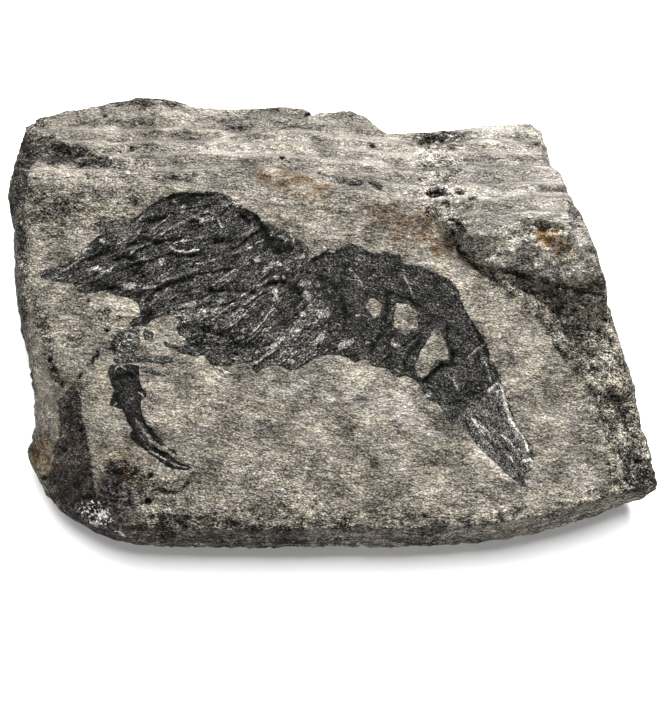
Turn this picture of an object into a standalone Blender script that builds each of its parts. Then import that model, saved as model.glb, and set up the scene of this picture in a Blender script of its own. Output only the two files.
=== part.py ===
"""Fossil shrimp: a flattened shrimp in dark cuticle on the top face of a block of sandy shale.

The block lies on its flat underside, fossil up. +X runs to the tail's side, +Y to the
bevelled back, +Z up. Outlines are in millimetres on the sheet, whose datum is DATUM.
"""
import math

import bmesh
import bpy
import numpy as np

MM = 0.001

# ---- driving dimensions (mm) ----
DATUM = (0.85, 0.4)              # the sheet's zero in the frame
BED = 24.0                       # height of the bedding face that bears the fossil
SHELF = 3.9                      # what is left of the layer above it, at the back right
HINGE_Y = 17.2                   # where the bed turns down into the bevelled back
BEVEL = 0.98                     # fall of the bevelled back per mm
FRONT_Y = -34.2                  # where the bed turns down at the front
UNDERCUT = 0.10                  # share by which the sides draw in towards the underside
CORNER_UNDERCUT = 0.07           # what is added to it at the two ends
PLATE_FOOT = BED - 1.1           # underside of the cuticle plates
POCKET_FLOOR = PLATE_FOOT - 0.3  # floor of the hollow that the plates lie in
GAP = 0.15                       # half the gap between the plates and the rock
TOP_CELLS = (52, 37)             # cells of the top face along X and Y
SIDE_LEVELS = (0.35, 0.7, 1.0, 1.3, 1.65, 2.0)  # rows of the sides: 1 widest, 2 underside
SIDE_PULL = (1.6, 1.4, 0.1, 1.6, 2.2, 1.2)      # how far each row is broken back
PLATE_CELL = 1.7                 # cell of the plates' relief

# Widest outline of the block, one list a side, each (x, y, z). Left to right along the
# back and the front, front to back along the left and the right.
BACK_RIM = [
    (-49.0, 30.8, 9), (-46.0, 32.7, 8), (-43.0, 33.5, 8), (-38.7, 34.1, 8), (-35.0, 34.9, 8),
    (-31.0, 35.7, 8), (-29.3, 35.8, 8), (-25.0, 35.1, 8), (-21.5, 34.3, 8), (-15.0, 34.1, 8),
    (-8.5, 34.8, 8), (-5.0, 34.6, 8), (-3.8, 34.0, 8), (-3.5, 33.3, 8), (-2.0, 33.7, 8),
    (2.5, 34.1, 8), (5.0, 33.2, 8), (7.2, 30.8, 8), (8.5, 29.9, 8), (12.0, 30.1, 8),
    (18.0, 30.6, 8), (22.0, 31.3, 8), (27.0, 31.7, 8), (31.0, 31.6, 8), (33.0, 30.4, 9),
]
FRONT_RIM = [
    (-44.0, -28.4, 10), (-41.8, -30.8, 11), (-39.5, -32.4, 11), (-36.8, -34.0, 11),
    (-33.5, -35.3, 11), (-30.9, -35.9, 11), (-26.3, -36.3, 11), (-20.3, -36.4, 11),
    (-10.0, -36.5, 11), (-2.0, -36.4, 11), (10.0, -36.4, 11), (17.0, -36.1, 11),
    (22.2, -35.7, 11), (28.2, -34.9, 11), (34.3, -33.4, 11), (39.7, -31.7, 11),
    (44.3, -29.9, 11), (47.8, -28.9, 11), (49.4, -27.6, 11),
]
LEFT_RIM = [
    (-44.0, -28.4, 10), (-45.8, -25.0, 10), (-46.8, -23.2, 10), (-47.2, -21.8, 10),
    (-46.6, -19.9, 9), (-46.2, -17.8, 9), (-46.4, -13.5, 9), (-46.8, -10.0, 9),
    (-47.2, -7.6, 9), (-48.1, -5.0, 9), (-48.9, -0.5, 9), (-49.5, 4.0, 9), (-49.9, 9.0, 9),
    (-50.1, 13.0, 9), (-50.7, 15.0, 9), (-51.1, 16.8, 9), (-50.9, 20.5, 9),
    (-50.6, 24.0, 9), (-49.7, 27.8, 9), (-49.0, 30.8, 9),
]
RIGHT_RIM = [
    (49.4, -27.6, 11), (49.3, -25.6, 11), (48.6, -24.0, 11), (48.9, -23.0, 11),
    (48.4, -20.6, 11), (47.4, -18.8, 11), (46.2, -11.8, 11), (45.2, -7.2, 11),
    (44.2, -2.6, 11), (43.0, 2.2, 11), (41.6, 7.6, 11), (39.8, 13.2, 11), (38.6, 16.8, 11),
    (37.3, 19.8, 11), (34.5, 23.4, 11), (34.2, 26.5, 10), (33.0, 30.4, 9),
]
# The top face stops short of the widest outline by these shares of its width and depth.
BROW = {"left": 0.030, "right": 0.022, "front": 0.016, "back": 0.012}

# Crest and foot of the step from the shelf down to the bed.
SHELF_CREST = [
    (12.8, 12.3), (14.0, 11.8), (15.4, 11.0), (18.8, 9.9), (20.8, 8.5), (22.0, 8.4),
    (24.0, 9.3), (25.8, 10.4), (28.8, 11.2), (31.7, 11.0), (33.5, 9.9), (36.3, 7.6), (45, 6),
]
SHELF_FOOT = [
    (12.8, 11.8), (15.9, 9.0), (18.2, 6.5), (21.0, 4.1), (24.9, 3.5), (30.6, 2.9),
    (34.6, 1.6), (45, 0.5),
]
# Where the bed breaks off into the right flank: down its left side, and along its top.
FLANK_LEFT = [
    (23.5, 2.0), (28.2, -1.3), (32.0, -6.5), (34.1, -7.9), (35.0, -10.9), (36.9, -13.3),
    (37.2, -18.9), (39.3, -23.4), (40.2, -27.9), (40.6, -38.0),
]
FLANK_TOP = [(23.5, 2.0), (28.0, 1.8), (34.6, 1.4), (39.8, 0.7), (50.0, 0.0)]
# Left edge of the bed, from the back to the front corner.
LEFT_EDGE = [
    (-46.5, 34.0), (-45.6, 21.8), (-45.2, 15.5), (-45.0, 9.2), (-45.4, 2.9), (-43.6, -4.8),
    (-40.9, -11.4), (-38.2, -13.7), (-37.3, -18.1), (-36.7, -22.3), (-35.4, -26.8),
    (-31.5, -31.5), (-28.0, -38.0),
]
# The ledge over the hollow in the back left corner.
HOLLOW_LEDGE = [(-46.0, 27.4), (-42.6, 25.5), (-38.4, 24.4), (-34.4, 22.8)]
# Pits and holes: x, y, radius, depth.
PITS = [
    (14.9, 15.5, 1.35, 1.5), (18.6, 15.9, 0.8, 0.9), (20.3, 14.8, 0.8, 1.0),
    (22.2, 14.6, 0.9, 1.0), (17.4, 11.6, 0.8, 1.2), (19.2, 10.2, 0.8, 1.2),
    (-26.9, -27.5, 0.5, 0.8), (-42.6, -26.1, 0.8, 1.2), (-37.9, -26.7, 0.8, 1.2),
    (-31.2, 24.7, 0.5, 0.7), (-27.1, -31.4, 0.7, 1.2),
]

# ---- outlines of the plates, each run from the left ----
CARAPACE_TOP = [
    (-44.0, 3.3), (-41.5, 4.3), (-40.0, 4.7), (-38.6, 5.9), (-36.8, 7.6), (-35.9, 8.5),
    (-34.5, 9.5), (-33.2, 10.0), (-32.5, 9.2), (-31.5, 10.3), (-31.0, 11.9), (-29.1, 12.7),
    (-27.2, 14.1), (-25.0, 15.05), (-23.4, 15.7), (-20.8, 15.85), (-20.0, 15.5), (-18.0, 15.95),
    (-14.6, 15.8), (-13.8, 15.2), (-14.5, 14.5), (-14.3, 13.3), (-11.9, 12.7), (-10.8, 11.7),
    (-9.2, 11.1), (-9.4, 10.3), (-7.4, 9.9), (-5.6, 8.8), (-3.6, 7.1),
]
# The seam between the carapace and the abdomen, top to bottom.
SEAM = [(-3.9, 5.3), (-3.2, 3.4), (-2.1, 1.4), (-1.3, -1.2), (-0.9, -4.0), (-0.8, -6.6)]
CARAPACE_FOOT = [
    (-0.85, -9.05), (-2.2, -9.35), (-4.1, -10.4), (-5.0, -11.2), (-6.5, -11.7), (-7.6, -10.9),
    (-9.1, -10.75), (-10.05, -11.05), (-11.5, -12.05), (-12.85, -10.2), (-16.1, -11.0),
    (-18.2, -10.7), (-19.35, -9.25), (-20.8, -9.75), (-21.6, -9.4), (-22.6, -8.3),
    (-22.4, -7.1), (-22.3, -6.1), (-23.9, -5.4), (-23.6, -4.1), (-25.0, -3.4), (-27.2, -4.1),
    (-28.1, -4.9), (-29.1, -4.9), (-29.0, -2.25), (-29.95, -0.9), (-31.9, -0.35), (-33.5, 0.35),
    (-34.6, 0.5), (-37.2, 0.0), (-38.05, 0.25), (-38.9, 1.5), (-41.1, 1.9), (-43.8, 2.5),
]
ABDOMEN_TOP = [
    (-3.9, 5.3), (-2.9, 5.8), (-1.05, 6.9), (0.6, 6.9), (2.5, 7.9), (3.85, 7.4), (5.8, 6.3),
    (8.1, 6.3), (10.0, 6.05), (10.3, 4.6), (12.9, 4.3), (15.2, 3.4), (17.5, 2.05), (18.45, 1.05),
    (19.4, -2.1), (20.1, -3.25), (22.2, -6.5), (23.1, -9.0), (23.1, -10.5), (23.9, -11.0),
    (24.6, -12.6),
]
# The cross line at the root of the fan, outer edge to inner edge.
TAIL_SEAM = [(24.6, -12.6), (23.4, -13.9), (22.0, -15.2), (20.4, -16.6), (18.5, -18.3)]
ABDOMEN_FOOT = [
    (17.7, -19.6), (17.1, -19.4), (16.4, -17.9), (15.3, -16.35), (14.2, -16.2),
    (12.85, -14.45), (12.5, -13.3),
    (10.7, -12.35), (9.4, -12.6), (7.9, -11.2), (5.8, -10.85), (4.85, -9.85), (3.05, -10.35),
    (1.6, -9.4), (-0.85, -9.05),
]
TAIL_OUTER = [
    (24.6, -12.6), (25.45, -15.0), (26.6, -18.3), (27.9, -21.35), (29.45, -24.2), (29.5, -25.2),
    (28.35, -27.2), (27.75, -27.8), (28.1, -29.3),
]
TAIL_INNER = [
    (27.0, -28.0), (25.3, -26.7), (22.85, -24.6), (21.2, -22.9), (19.95, -20.95),
    (19.0, -19.3), (18.5, -18.3),
]
CLAW = [
    (-33.7, -11.3), (-33.0, -10.8), (-30.6, -10.65), (-29.0, -10.65), (-28.8, -12.1),
    (-28.5, -13.9), (-27.7, -15.6), (-28.5, -16.55), (-28.2, -18.35), (-27.05, -20.3),
    (-24.9, -22.8), (-26.5, -21.9), (-28.15, -20.3), (-29.3, -18.45), (-28.8, -19.9),
    (-27.8, -21.6), (-26.2, -23.3), (-24.25, -24.65), (-20.95, -26.15), (-22.6, -26.55),
    (-24.85, -25.5), (-26.8, -24.2), (-28.95, -22.7), (-30.15, -21.3), (-29.9, -19.65),
    (-31.0, -18.0), (-33.05, -16.85), (-32.4, -14.9), (-33.1, -12.6),
]
LEGS = [
    (-33.0, -6.0), (-31.6, -5.4), (-30.2, -6.0), (-28.6, -5.9), (-26.6, -5.5), (-27.2, -6.9),
    (-29.2, -7.4), (-29.6, -9.0), (-28.5, -9.2), (-25.0, -9.8), (-23.8, -9.8), (-25.5, -10.4),
    (-28.4, -10.2), (-33.0, -10.2), (-33.4, -8.2),
]
# Windows in the abdomen, where the cuticle is gone.
WINDOWS = [
    [(5.2, -0.6), (6.0, -0.3), (7.2, -1.4), (6.9, -3.0), (6.0, -3.8), (5.4, -2.6), (4.7, -1.9)],
    [(9.3, -1.4), (11.0, -1.4), (12.4, -2.4), (12.6, -5.1), (10.5, -6.1), (9.0, -4.9),
     (9.0, -3.1)],
    [(15.05, -5.1), (15.9, -5.4), (16.85, -7.75), (17.2, -10.0), (15.2, -10.05),
     (14.4, -11.55), (13.2, -12.7), (12.2, -12.0), (12.1, -10.7), (13.2, -8.1)],
]


# ---- fields over the sheet, on numpy arrays of x and y in mm ----
def lattice_angle(ix, iy, seed):
    """A fixed direction for each point of the whole-number lattice."""
    h = (ix * 374761393 + iy * 668265263 + seed * 974634777) & 0xFFFFFFFF
    h = ((h ^ (h >> 13)) * 1274126177) & 0xFFFFFFFF
    return ((h ^ (h >> 16)) & 0xFFFF) * (2 * math.pi / 65536)


def ripple(x, y, size, seed):
    """Smooth random relief between about -1 and 1, with lumps of the given size."""
    x, y = np.asarray(x, float) / size, np.asarray(y, float) / size
    x0, y0 = np.floor(x).astype(np.int64), np.floor(y).astype(np.int64)
    fx, fy = x - x0, y - y0
    ux, uy = fx * fx * (3 - 2 * fx), fy * fy * (3 - 2 * fy)
    corner = []
    for dx, dy in ((0, 0), (1, 0), (0, 1), (1, 1)):
        angle = lattice_angle(x0 + dx, y0 + dy, seed)
        corner.append(np.cos(angle) * (fx - dx) + np.sin(angle) * (fy - dy))
    low = corner[0] * (1 - ux) + corner[1] * ux
    high = corner[2] * (1 - ux) + corner[3] * ux
    return 1.4 * (low * (1 - uy) + high * uy)


def smooth(low, high, value):
    t = np.clip((value - low) / (high - low), 0, 1)
    return t * t * (3 - 2 * t)


def soft_min(a, b, reach):
    blend = np.clip(0.5 + 0.5 * (b - a) / reach, 0, 1)
    return b * (1 - blend) + a * blend - reach * blend * (1 - blend)


def follow(line, x):
    """Height of an open line, given left to right, over x."""
    return np.interp(x, [p[0] for p in line], [p[1] for p in line])


def follow_down(line, y):
    """x of a line given from a high y to a low y."""
    line = sorted(line, key=lambda p: p[1])
    return np.interp(y, [p[1] for p in line], [p[0] for p in line])


def terrain(x, y):
    """Height of the block's top face."""
    bed = BED + 0.3 * ripple(x, y, 17, 1) + 0.12 * ripple(x, y, 6, 2)
    foot, crest = follow(SHELF_FOOT, x), follow(SHELF_CREST, x)
    step = smooth(foot, crest + 0.4, y) * smooth(12.0, 23.0, x)
    layer = bed + SHELF * step + 0.5 * step * ripple(x, y, 5, 3)
    bevel = BED + BEVEL * (HINGE_Y - y) + 0.7 * ripple(x, y, 9, 4)
    bevel = bevel + 0.5 * np.sin(2.1 * bevel + 1.5 * ripple(x, y, 15, 5))
    height = soft_min(layer, bevel, 2.2)
    height = soft_min(height, BED + 1.7 * (y - FRONT_Y) + 2.5, 2.0)
    left = follow_down(LEFT_EDGE, y)
    height = soft_min(height, BED + 0.9 * (x - left) + 0.6 * ripple(x, y, 8, 6), 1.6)
    flank = follow_down(FLANK_LEFT, np.minimum(y, 2.0))
    right_drop = 0.62 * (x - flank)
    top_drop = 1.15 * (follow(FLANK_TOP, x) - y)
    drop = -soft_min(0, -soft_min(right_drop, top_drop, 1.5), 1.2)
    height = height - drop - 0.5 * smooth(0, 3, drop) * (1 + ripple(x, y, 5, 7))
    height = height - 0.35 * np.maximum(0, x - 38.0) * smooth(0, 6, y)
    hollow = follow(HOLLOW_LEDGE, x) - y
    hollow = smooth(0, 1.2, hollow) * smooth(7, 2.5, hollow) * smooth(-33.5, -36, x)
    return height - 1.1 * hollow


def wrinkles(x, y):
    """Relief of the crumpled head shield: ridges that run up to the right."""
    along = 0.80 * x + 0.60 * y
    across = -0.60 * x + 0.80 * y + 1.6 * ripple(x, y, 11, 21)
    ridges = ripple(along * 0.28, across, 2.6, 22)
    return 0.20 + 0.30 * ridges * smooth(-43, -36, x)


def arched_plates(x, y):
    """Relief of the abdomen: each plate laps over the next one, towards the tail."""
    turn = np.degrees(np.arctan2(y + 22.0, x + 2.0))
    lap = (turn - 4 * ripple(x, y, 9, 24)) / 17.0
    return 0.05 + 0.42 * (1 - (lap - np.floor(lap)))


def ribbed_fan(x, y):
    """Relief of the fan: ribs that run along it."""
    across = 0.87 * (x - 19.0) + 0.50 * (y + 19.0)
    return 0.20 + 0.18 * np.cos(across * 1.9)


def slim_limb(x, y):
    return 0.20 + 0.12 * ripple(x, y, 2.5, 26)


# ---- building blocks ----
def to_frame(x, y, z):
    return ((x + DATUM[0]) * MM, (y + DATUM[1]) * MM, z * MM)


def side_point(side, share):
    """Point at a share of the length of one side of the widest outline."""
    points = np.array(side, float)
    steps = np.hypot(np.diff(points[:, 0]), np.diff(points[:, 1]))
    run = np.concatenate(([0], np.cumsum(steps))) / steps.sum()
    return np.array([np.interp(share, run, points[:, k]) for k in range(3)])


def sheet_point(u, v):
    """Place inside the widest outline, from its four sides."""
    left, right = side_point(LEFT_RIM, v), side_point(RIGHT_RIM, v)
    front, back = side_point(FRONT_RIM, u), side_point(BACK_RIM, u)
    corners = (
        (1 - u) * (1 - v) * np.array(FRONT_RIM[0]) + u * (1 - v) * np.array(FRONT_RIM[-1])
        + (1 - u) * v * np.array(BACK_RIM[0]) + u * v * np.array(BACK_RIM[-1])
    )
    return (1 - v) * front + v * back + (1 - u) * left + u * right - corners


def new_object(name, bm, collection, material=None):
    mesh = bpy.data.meshes.new(name)
    bmesh.ops.recalc_face_normals(bm, faces=bm.faces)
    bm.to_mesh(mesh)
    bm.free()
    obj = bpy.data.objects.new(name, mesh)
    collection.objects.link(obj)
    if material:
        mesh.materials.append(material)
    return obj


def offset_outline(outline, distance):
    """The outline moved outwards by a distance, or inwards by a negative one."""
    points = np.array(outline, float)
    before, after = np.roll(points, 1, axis=0), np.roll(points, -1, axis=0)
    area = np.sum(points[:, 0] * after[:, 1] - after[:, 0] * points[:, 1])
    sign = 1 if area > 0 else -1

    def normals(start, end):
        edge = end - start
        edge = edge / np.linalg.norm(edge, axis=1, keepdims=True)
        return sign * np.stack((edge[:, 1], -edge[:, 0]), axis=1)

    mean = normals(before, points) + normals(points, after)
    length = np.maximum(np.linalg.norm(mean, axis=1, keepdims=True), 1.1)
    return points + distance * 2 * mean / length ** 2


def add_prism(bm, outline, low, high):
    """Upright solid over an outline, between two heights."""
    verts = [bm.verts.new(to_frame(x, y, low)) for x, y in outline]
    edges = [bm.edges.new((start, end)) for start, end in zip(verts, verts[1:] + verts[:1])]
    face = bmesh.ops.contextual_create(bm, geom=edges)["faces"][0]
    lifted = bmesh.ops.extrude_face_region(bm, geom=[face])["geom"]
    rise = (0, 0, (high - low) * MM)
    bmesh.ops.translate(bm, vec=rise, verts=[g for g in lifted if isinstance(g, bmesh.types.BMVert)])


def cutter(name, outline, low, high):
    bm = bmesh.new()
    add_prism(bm, outline, low, high)
    obj = new_object(name, bm, cutters)
    obj.hide_render = True
    obj.display_type = "WIRE"
    return obj


def carve(obj, tool, operation):
    """Apply a Boolean with a cutter to an object's mesh."""
    modifier = obj.modifiers.new(operation.title(), "BOOLEAN")
    modifier.operation = operation
    modifier.object = tool
    modifier.solver = "EXACT"
    view = bpy.context.evaluated_depsgraph_get()
    carved = bpy.data.meshes.new_from_object(obj.evaluated_get(view))
    obj.modifiers.clear()
    old, obj.data = obj.data, carved
    bpy.data.meshes.remove(old)


def pit_tool(number, x, y, radius, depth):
    """A drop-shaped cutter, sunk to its middle at the surface."""
    bm = bmesh.new()
    bmesh.ops.create_uvsphere(bm, u_segments=9, v_segments=6, radius=radius * MM)
    bmesh.ops.scale(bm, vec=(1, 1, depth / radius), verts=bm.verts)
    bmesh.ops.translate(bm, vec=to_frame(x, y, float(terrain(x, y))), verts=bm.verts)
    obj = new_object(f"pit_{number}", bm, cutters)
    obj.hide_render = True
    obj.display_type = "WIRE"
    return obj


def make_material(name, colour, roughness):
    material = bpy.data.materials.new(name)
    material.use_nodes = True
    shader = material.node_tree.nodes["Principled BSDF"]
    shader.inputs["Base Color"].default_value = (*colour, 1)
    shader.inputs["Roughness"].default_value = roughness
    shader.inputs["Metallic"].default_value = 0
    material.diffuse_color = (*colour, 1)
    return material


# ---- the block ----
def side_place(where, level, pull):
    """Place on the broken side, at a level: 0 brow, 1 widest outline, 2 underside."""
    brow, rim = where
    if level <= 1:
        turn = level * math.pi / 2
        spot = brow[:2] + (rim[:2] - brow[:2]) * math.sin(turn)
        z = rim[2] + (brow[2] - rim[2]) * math.cos(turn)
    else:
        turn = (level - 1) * math.pi / 2
        draw = UNDERCUT + CORNER_UNDERCUT * smooth(30, 50, abs(rim[0]))
        spot = rim[:2] * (1 - draw * (1 - math.cos(turn)))
        z = rim[2] * (1 - math.sin(turn))
    slant = 1.9 * z
    broken = ripple(spot[0] + slant, spot[1] - slant, 8, 9) + 0.6 * ripple(spot[0], z, 4, 10)
    inward = spot / np.linalg.norm(spot)
    x, y = spot - inward * pull * abs(float(broken))
    return x, y, z


def build_matrix():
    bm = bmesh.new()
    bmesh.ops.create_grid(bm, x_segments=TOP_CELLS[0], y_segments=TOP_CELLS[1], size=0.5)
    rim_of = {}
    for vert in bm.verts:
        u, v = vert.co.x + 0.5, vert.co.y + 0.5
        inner_u = BROW["left"] + (1 - BROW["left"] - BROW["right"]) * u
        inner_v = BROW["front"] + (1 - BROW["front"] - BROW["back"]) * v
        x, y, _ = sheet_point(inner_u, inner_v)
        brow = np.array((x, y, float(terrain(x, y))))
        vert.co = to_frame(*brow)
        if vert.is_boundary:
            rim_of[tuple(vert.co)] = (brow, sheet_point(u, v))
    edges = [e for e in bm.edges if e.is_boundary]
    for level, pull in zip(SIDE_LEVELS, SIDE_PULL):
        grown = bmesh.ops.extrude_edge_only(bm, edges=edges)["geom"]
        edges = [g for g in grown if isinstance(g, bmesh.types.BMEdge) and g.is_boundary]
        ring = {}
        for vert in {v for e in edges for v in e.verts}:
            where = rim_of[tuple(vert.co)]
            vert.co = to_frame(*side_place(where, level, pull))
            ring[tuple(vert.co)] = where
        rim_of = ring
    bmesh.ops.contextual_create(bm, geom=edges)
    bmesh.ops.triangulate(bm, faces=[f for f in bm.faces if len(f.verts) > 4])
    return new_object("matrix", bm, part, make_material("sandy_shale", (0.25, 0.22, 0.18), 0.9))


# ---- the plates ----
def build_plate(name, outline, relief):
    """One sheet of cuticle: a slab with relief, trimmed to its outline."""
    shape = offset_outline(outline, -GAP)
    low, high = shape.min(axis=0) - PLATE_CELL, shape.max(axis=0) + PLATE_CELL
    cells = [max(2, round(span / PLATE_CELL)) for span in high - low]
    bm = bmesh.new()
    bmesh.ops.create_grid(bm, x_segments=cells[0], y_segments=cells[1], size=0.5)
    for vert in bm.verts:
        x, y = low + (high - low) * np.array((vert.co.x + 0.5, vert.co.y + 0.5))
        vert.co = to_frame(x, y, float(terrain(x, y) + relief(x, y)))
    lowered = bmesh.ops.extrude_edge_only(bm, edges=[e for e in bm.edges if e.is_boundary])
    foot = [g for g in lowered["geom"] if isinstance(g, bmesh.types.BMVert)]
    for vert in foot:
        vert.co.z = (PLATE_FOOT - 2) * MM
    bmesh.ops.contextual_create(bm, geom=[e for e in bm.edges if e.is_boundary])
    obj = new_object(name, bm, part)
    carve(obj, cutter(name + "_trim", shape, PLATE_FOOT, BED + 6), "INTERSECT")
    return obj, cutter(name + "_pocket", offset_outline(outline, GAP), POCKET_FLOOR, BED + 8)


for old in list(bpy.data.objects):
    bpy.data.objects.remove(old, do_unlink=True)
part = bpy.data.collections.new("fossil_shrimp")
cutters = bpy.data.collections.new("cutters")
bpy.context.scene.collection.children.link(part)
bpy.context.scene.collection.children.link(cutters)

abdomen_outline = ABDOMEN_TOP + TAIL_SEAM[1:] + ABDOMEN_FOOT + SEAM[:0:-1]
plates = [
    ("carapace", CARAPACE_TOP + SEAM + CARAPACE_FOOT, wrinkles, (0.030, 0.030, 0.033)),
    ("abdomen", abdomen_outline, arched_plates, (0.036, 0.036, 0.040)),
    ("tail_fan", TAIL_OUTER + TAIL_INNER + TAIL_SEAM[-2:0:-1], ribbed_fan, (0.045, 0.048, 0.052)),
    ("claw", CLAW, slim_limb, (0.022, 0.022, 0.024)),
    ("legs", LEGS, slim_limb, (0.040, 0.038, 0.036)),
]
matrix = build_matrix()
for pit_number, pit in enumerate(PITS, 1):
    carve(matrix, pit_tool(pit_number, *pit), "DIFFERENCE")
for plate_name, plate_outline, plate_relief, plate_colour in plates:
    plate, hollow_tool = build_plate(plate_name, plate_outline, plate_relief)
    if plate_name == "abdomen":
        for number, window in enumerate(WINDOWS, 1):
            opening = offset_outline(window, GAP)
            island = offset_outline(window, -GAP)
            tall = (PLATE_FOOT - 3, BED + 9)
            carve(plate, cutter(f"window_{number}", opening, *tall), "DIFFERENCE")
            carve(hollow_tool, cutter(f"island_{number}", island, *tall), "DIFFERENCE")
    carve(matrix, hollow_tool, "DIFFERENCE")
    plate.data.materials.clear()
    plate.data.materials.append(make_material(plate_name + "_cuticle", plate_colour, 0.6))
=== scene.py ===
"""Looks of the fossil shrimp: a hand-sized block of sandy shale, with a shrimp pressed flat
on its upper bedding face and turned to a dark film of carbonised cuticle.

Outlines are in millimetres on the block's own sheet: +X towards the tail, +Y towards the
bevelled back, +Z out of the fossil's face. SHEET_ZERO is the sheet's zero in the frame.
"""
import math

import bmesh
import bpy
import numpy as np
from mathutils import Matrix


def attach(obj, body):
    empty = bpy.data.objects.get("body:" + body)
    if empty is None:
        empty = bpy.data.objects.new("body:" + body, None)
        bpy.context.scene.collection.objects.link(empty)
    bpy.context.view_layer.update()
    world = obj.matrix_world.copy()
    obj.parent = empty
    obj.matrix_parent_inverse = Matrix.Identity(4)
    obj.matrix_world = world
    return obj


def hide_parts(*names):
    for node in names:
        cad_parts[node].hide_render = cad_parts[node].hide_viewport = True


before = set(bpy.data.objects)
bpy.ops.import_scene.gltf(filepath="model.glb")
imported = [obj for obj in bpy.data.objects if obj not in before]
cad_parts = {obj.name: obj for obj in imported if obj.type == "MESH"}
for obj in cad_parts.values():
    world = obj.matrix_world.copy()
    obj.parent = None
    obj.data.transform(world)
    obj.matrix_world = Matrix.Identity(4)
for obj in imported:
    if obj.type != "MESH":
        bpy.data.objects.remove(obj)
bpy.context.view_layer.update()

# ==== The block of sandy shale ====
# A loose piece of laminated sandy shale, broken from its bed by hand and left rough: the
# flat top is a bedding face, the back a bevel across the laminae, the rest is fracture.
# Nothing holds it: it lies on its flat underside.
MM = 0.001
SHEET_ZERO = (0.85, 0.4)         # the sheet's zero in the frame, mm
BED = 24.0                       # height of the bedding face that bears the fossil
SHELF = 3.9                      # what is left of the layer above it, at the back right
SHELF_STARTS = (11.0, 21.0)      # between these x the shelf rises out of the bevel
BEVEL = 0.98                     # fall of the bevelled back per mm
FRONT_Y = -34.2                  # where the bed turns down at the front
FRONT_FALL = 1.7                 # and how much it falls there per mm
LEFT_FALL = 0.9                  # the same at the left edge,
FLANK_FALL = 0.62                # on the right flank,
RISER_FALL = 2.0                 # at the flank's upper end
CORNER_FALL = 0.35               # and past CORNER_X, where the shelf sags at its end
CORNER_X = 38.0
LOWEST = 9.5                     # the top face comes no lower than this
UNDERCUT = 0.10                  # share by which the sides draw in towards the underside
CORNER_UNDERCUT = 0.07           # what is added to it at the two ends
TOP_CELLS = (336, 236)           # cells of the top face along X and Y
SIDE_ROWS = 16
# Levels of the sides, 0 at the brow, 1 at the widest outline and 2 at the underside, and
# how far the rock is broken back at each.
SIDE_LEVELS = (0, 0.35, 0.7, 1.0, 1.3, 1.65, 2.0)
SIDE_PULL = (0, 1.6, 1.4, 0.1, 1.6, 2.2, 1.2)
# The top face stops short of the widest outline by these shares of its width and depth.
BROW = {"left": 0.030, "right": 0.022, "front": 0.016, "back": 0.012}
# The widest outline, one list a side, each (x, y, z): left to right along the back and the
# front, front to back along the left and the right.
BACK_RIM = [
    (-49, 30.8, 10), (-46, 32.7, 10), (-43, 33.5, 10), (-38.7, 34.1, 10.5), (-35, 34.9, 10.5),
    (-31, 35.7, 10.5), (-29.3, 35.8, 10.5), (-25, 35.1, 10.5), (-21.5, 34.3, 9.5), (-15, 34.1, 9),
    (-8.5, 34.8, 8.5), (-5, 34.6, 8), (-3.8, 34, 8), (-3.5, 33.3, 8), (-2, 33.7, 8),
    (2.5, 34.1, 8), (5, 33.2, 8), (7.2, 30.8, 8), (8.5, 29.9, 8), (12, 30.1, 8), (18, 30.6, 8),
    (22, 31.3, 8), (27, 31.7, 8), (31, 31.6, 9), (33, 30.4, 9),
]
FRONT_RIM = [
    (-44, -28.4, 10), (-41.8, -30.8, 11), (-39.5, -32.4, 11), (-36.8, -34, 11),
    (-33.5, -35.3, 11), (-30.9, -35.9, 11), (-26.3, -36.3, 11), (-20.3, -36.4, 11),
    (-10, -36.5, 11), (-2, -36.4, 11), (10, -36.4, 11), (17, -36.1, 11), (22.2, -35.7, 11),
    (28.2, -34.9, 11), (34.3, -33.4, 11), (39.7, -31.7, 11), (44.3, -29.9, 11), (47.8, -28.9, 11),
    (49.4, -27.6, 11),
]
LEFT_RIM = [
    (-44, -28.4, 10), (-45.8, -25, 10), (-46.8, -23.2, 10), (-47.2, -21.8, 10), (-46.6, -19.9, 9),
    (-46.2, -17.8, 9), (-46.4, -13.5, 9), (-46.8, -10, 9), (-47.2, -7.6, 9), (-48.1, -5, 9),
    (-48.9, -0.5, 9), (-49.5, 4, 9), (-49.9, 9, 9), (-50.1, 13, 9), (-50.7, 15, 9),
    (-51.1, 16.8, 9), (-50.9, 20.5, 9), (-50.6, 24, 9), (-49.7, 27.8, 9), (-49, 30.8, 9),
]
RIGHT_RIM = [
    (49.4, -27.6, 11), (49.3, -25.6, 11), (48.6, -24, 11), (48.9, -23, 11), (48.4, -20.6, 11),
    (47.4, -18.8, 11), (46.2, -11.8, 11), (45.2, -7.2, 11), (43.8, -2.6, 11), (42.2, 2.2, 11),
    (40, 7.6, 11), (37.8, 13.2, 11), (36.9, 16.8, 11), (36.3, 19.8, 11), (34.2, 23.4, 11),
    (34, 26.5, 10), (33, 30.4, 9),
]
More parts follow.
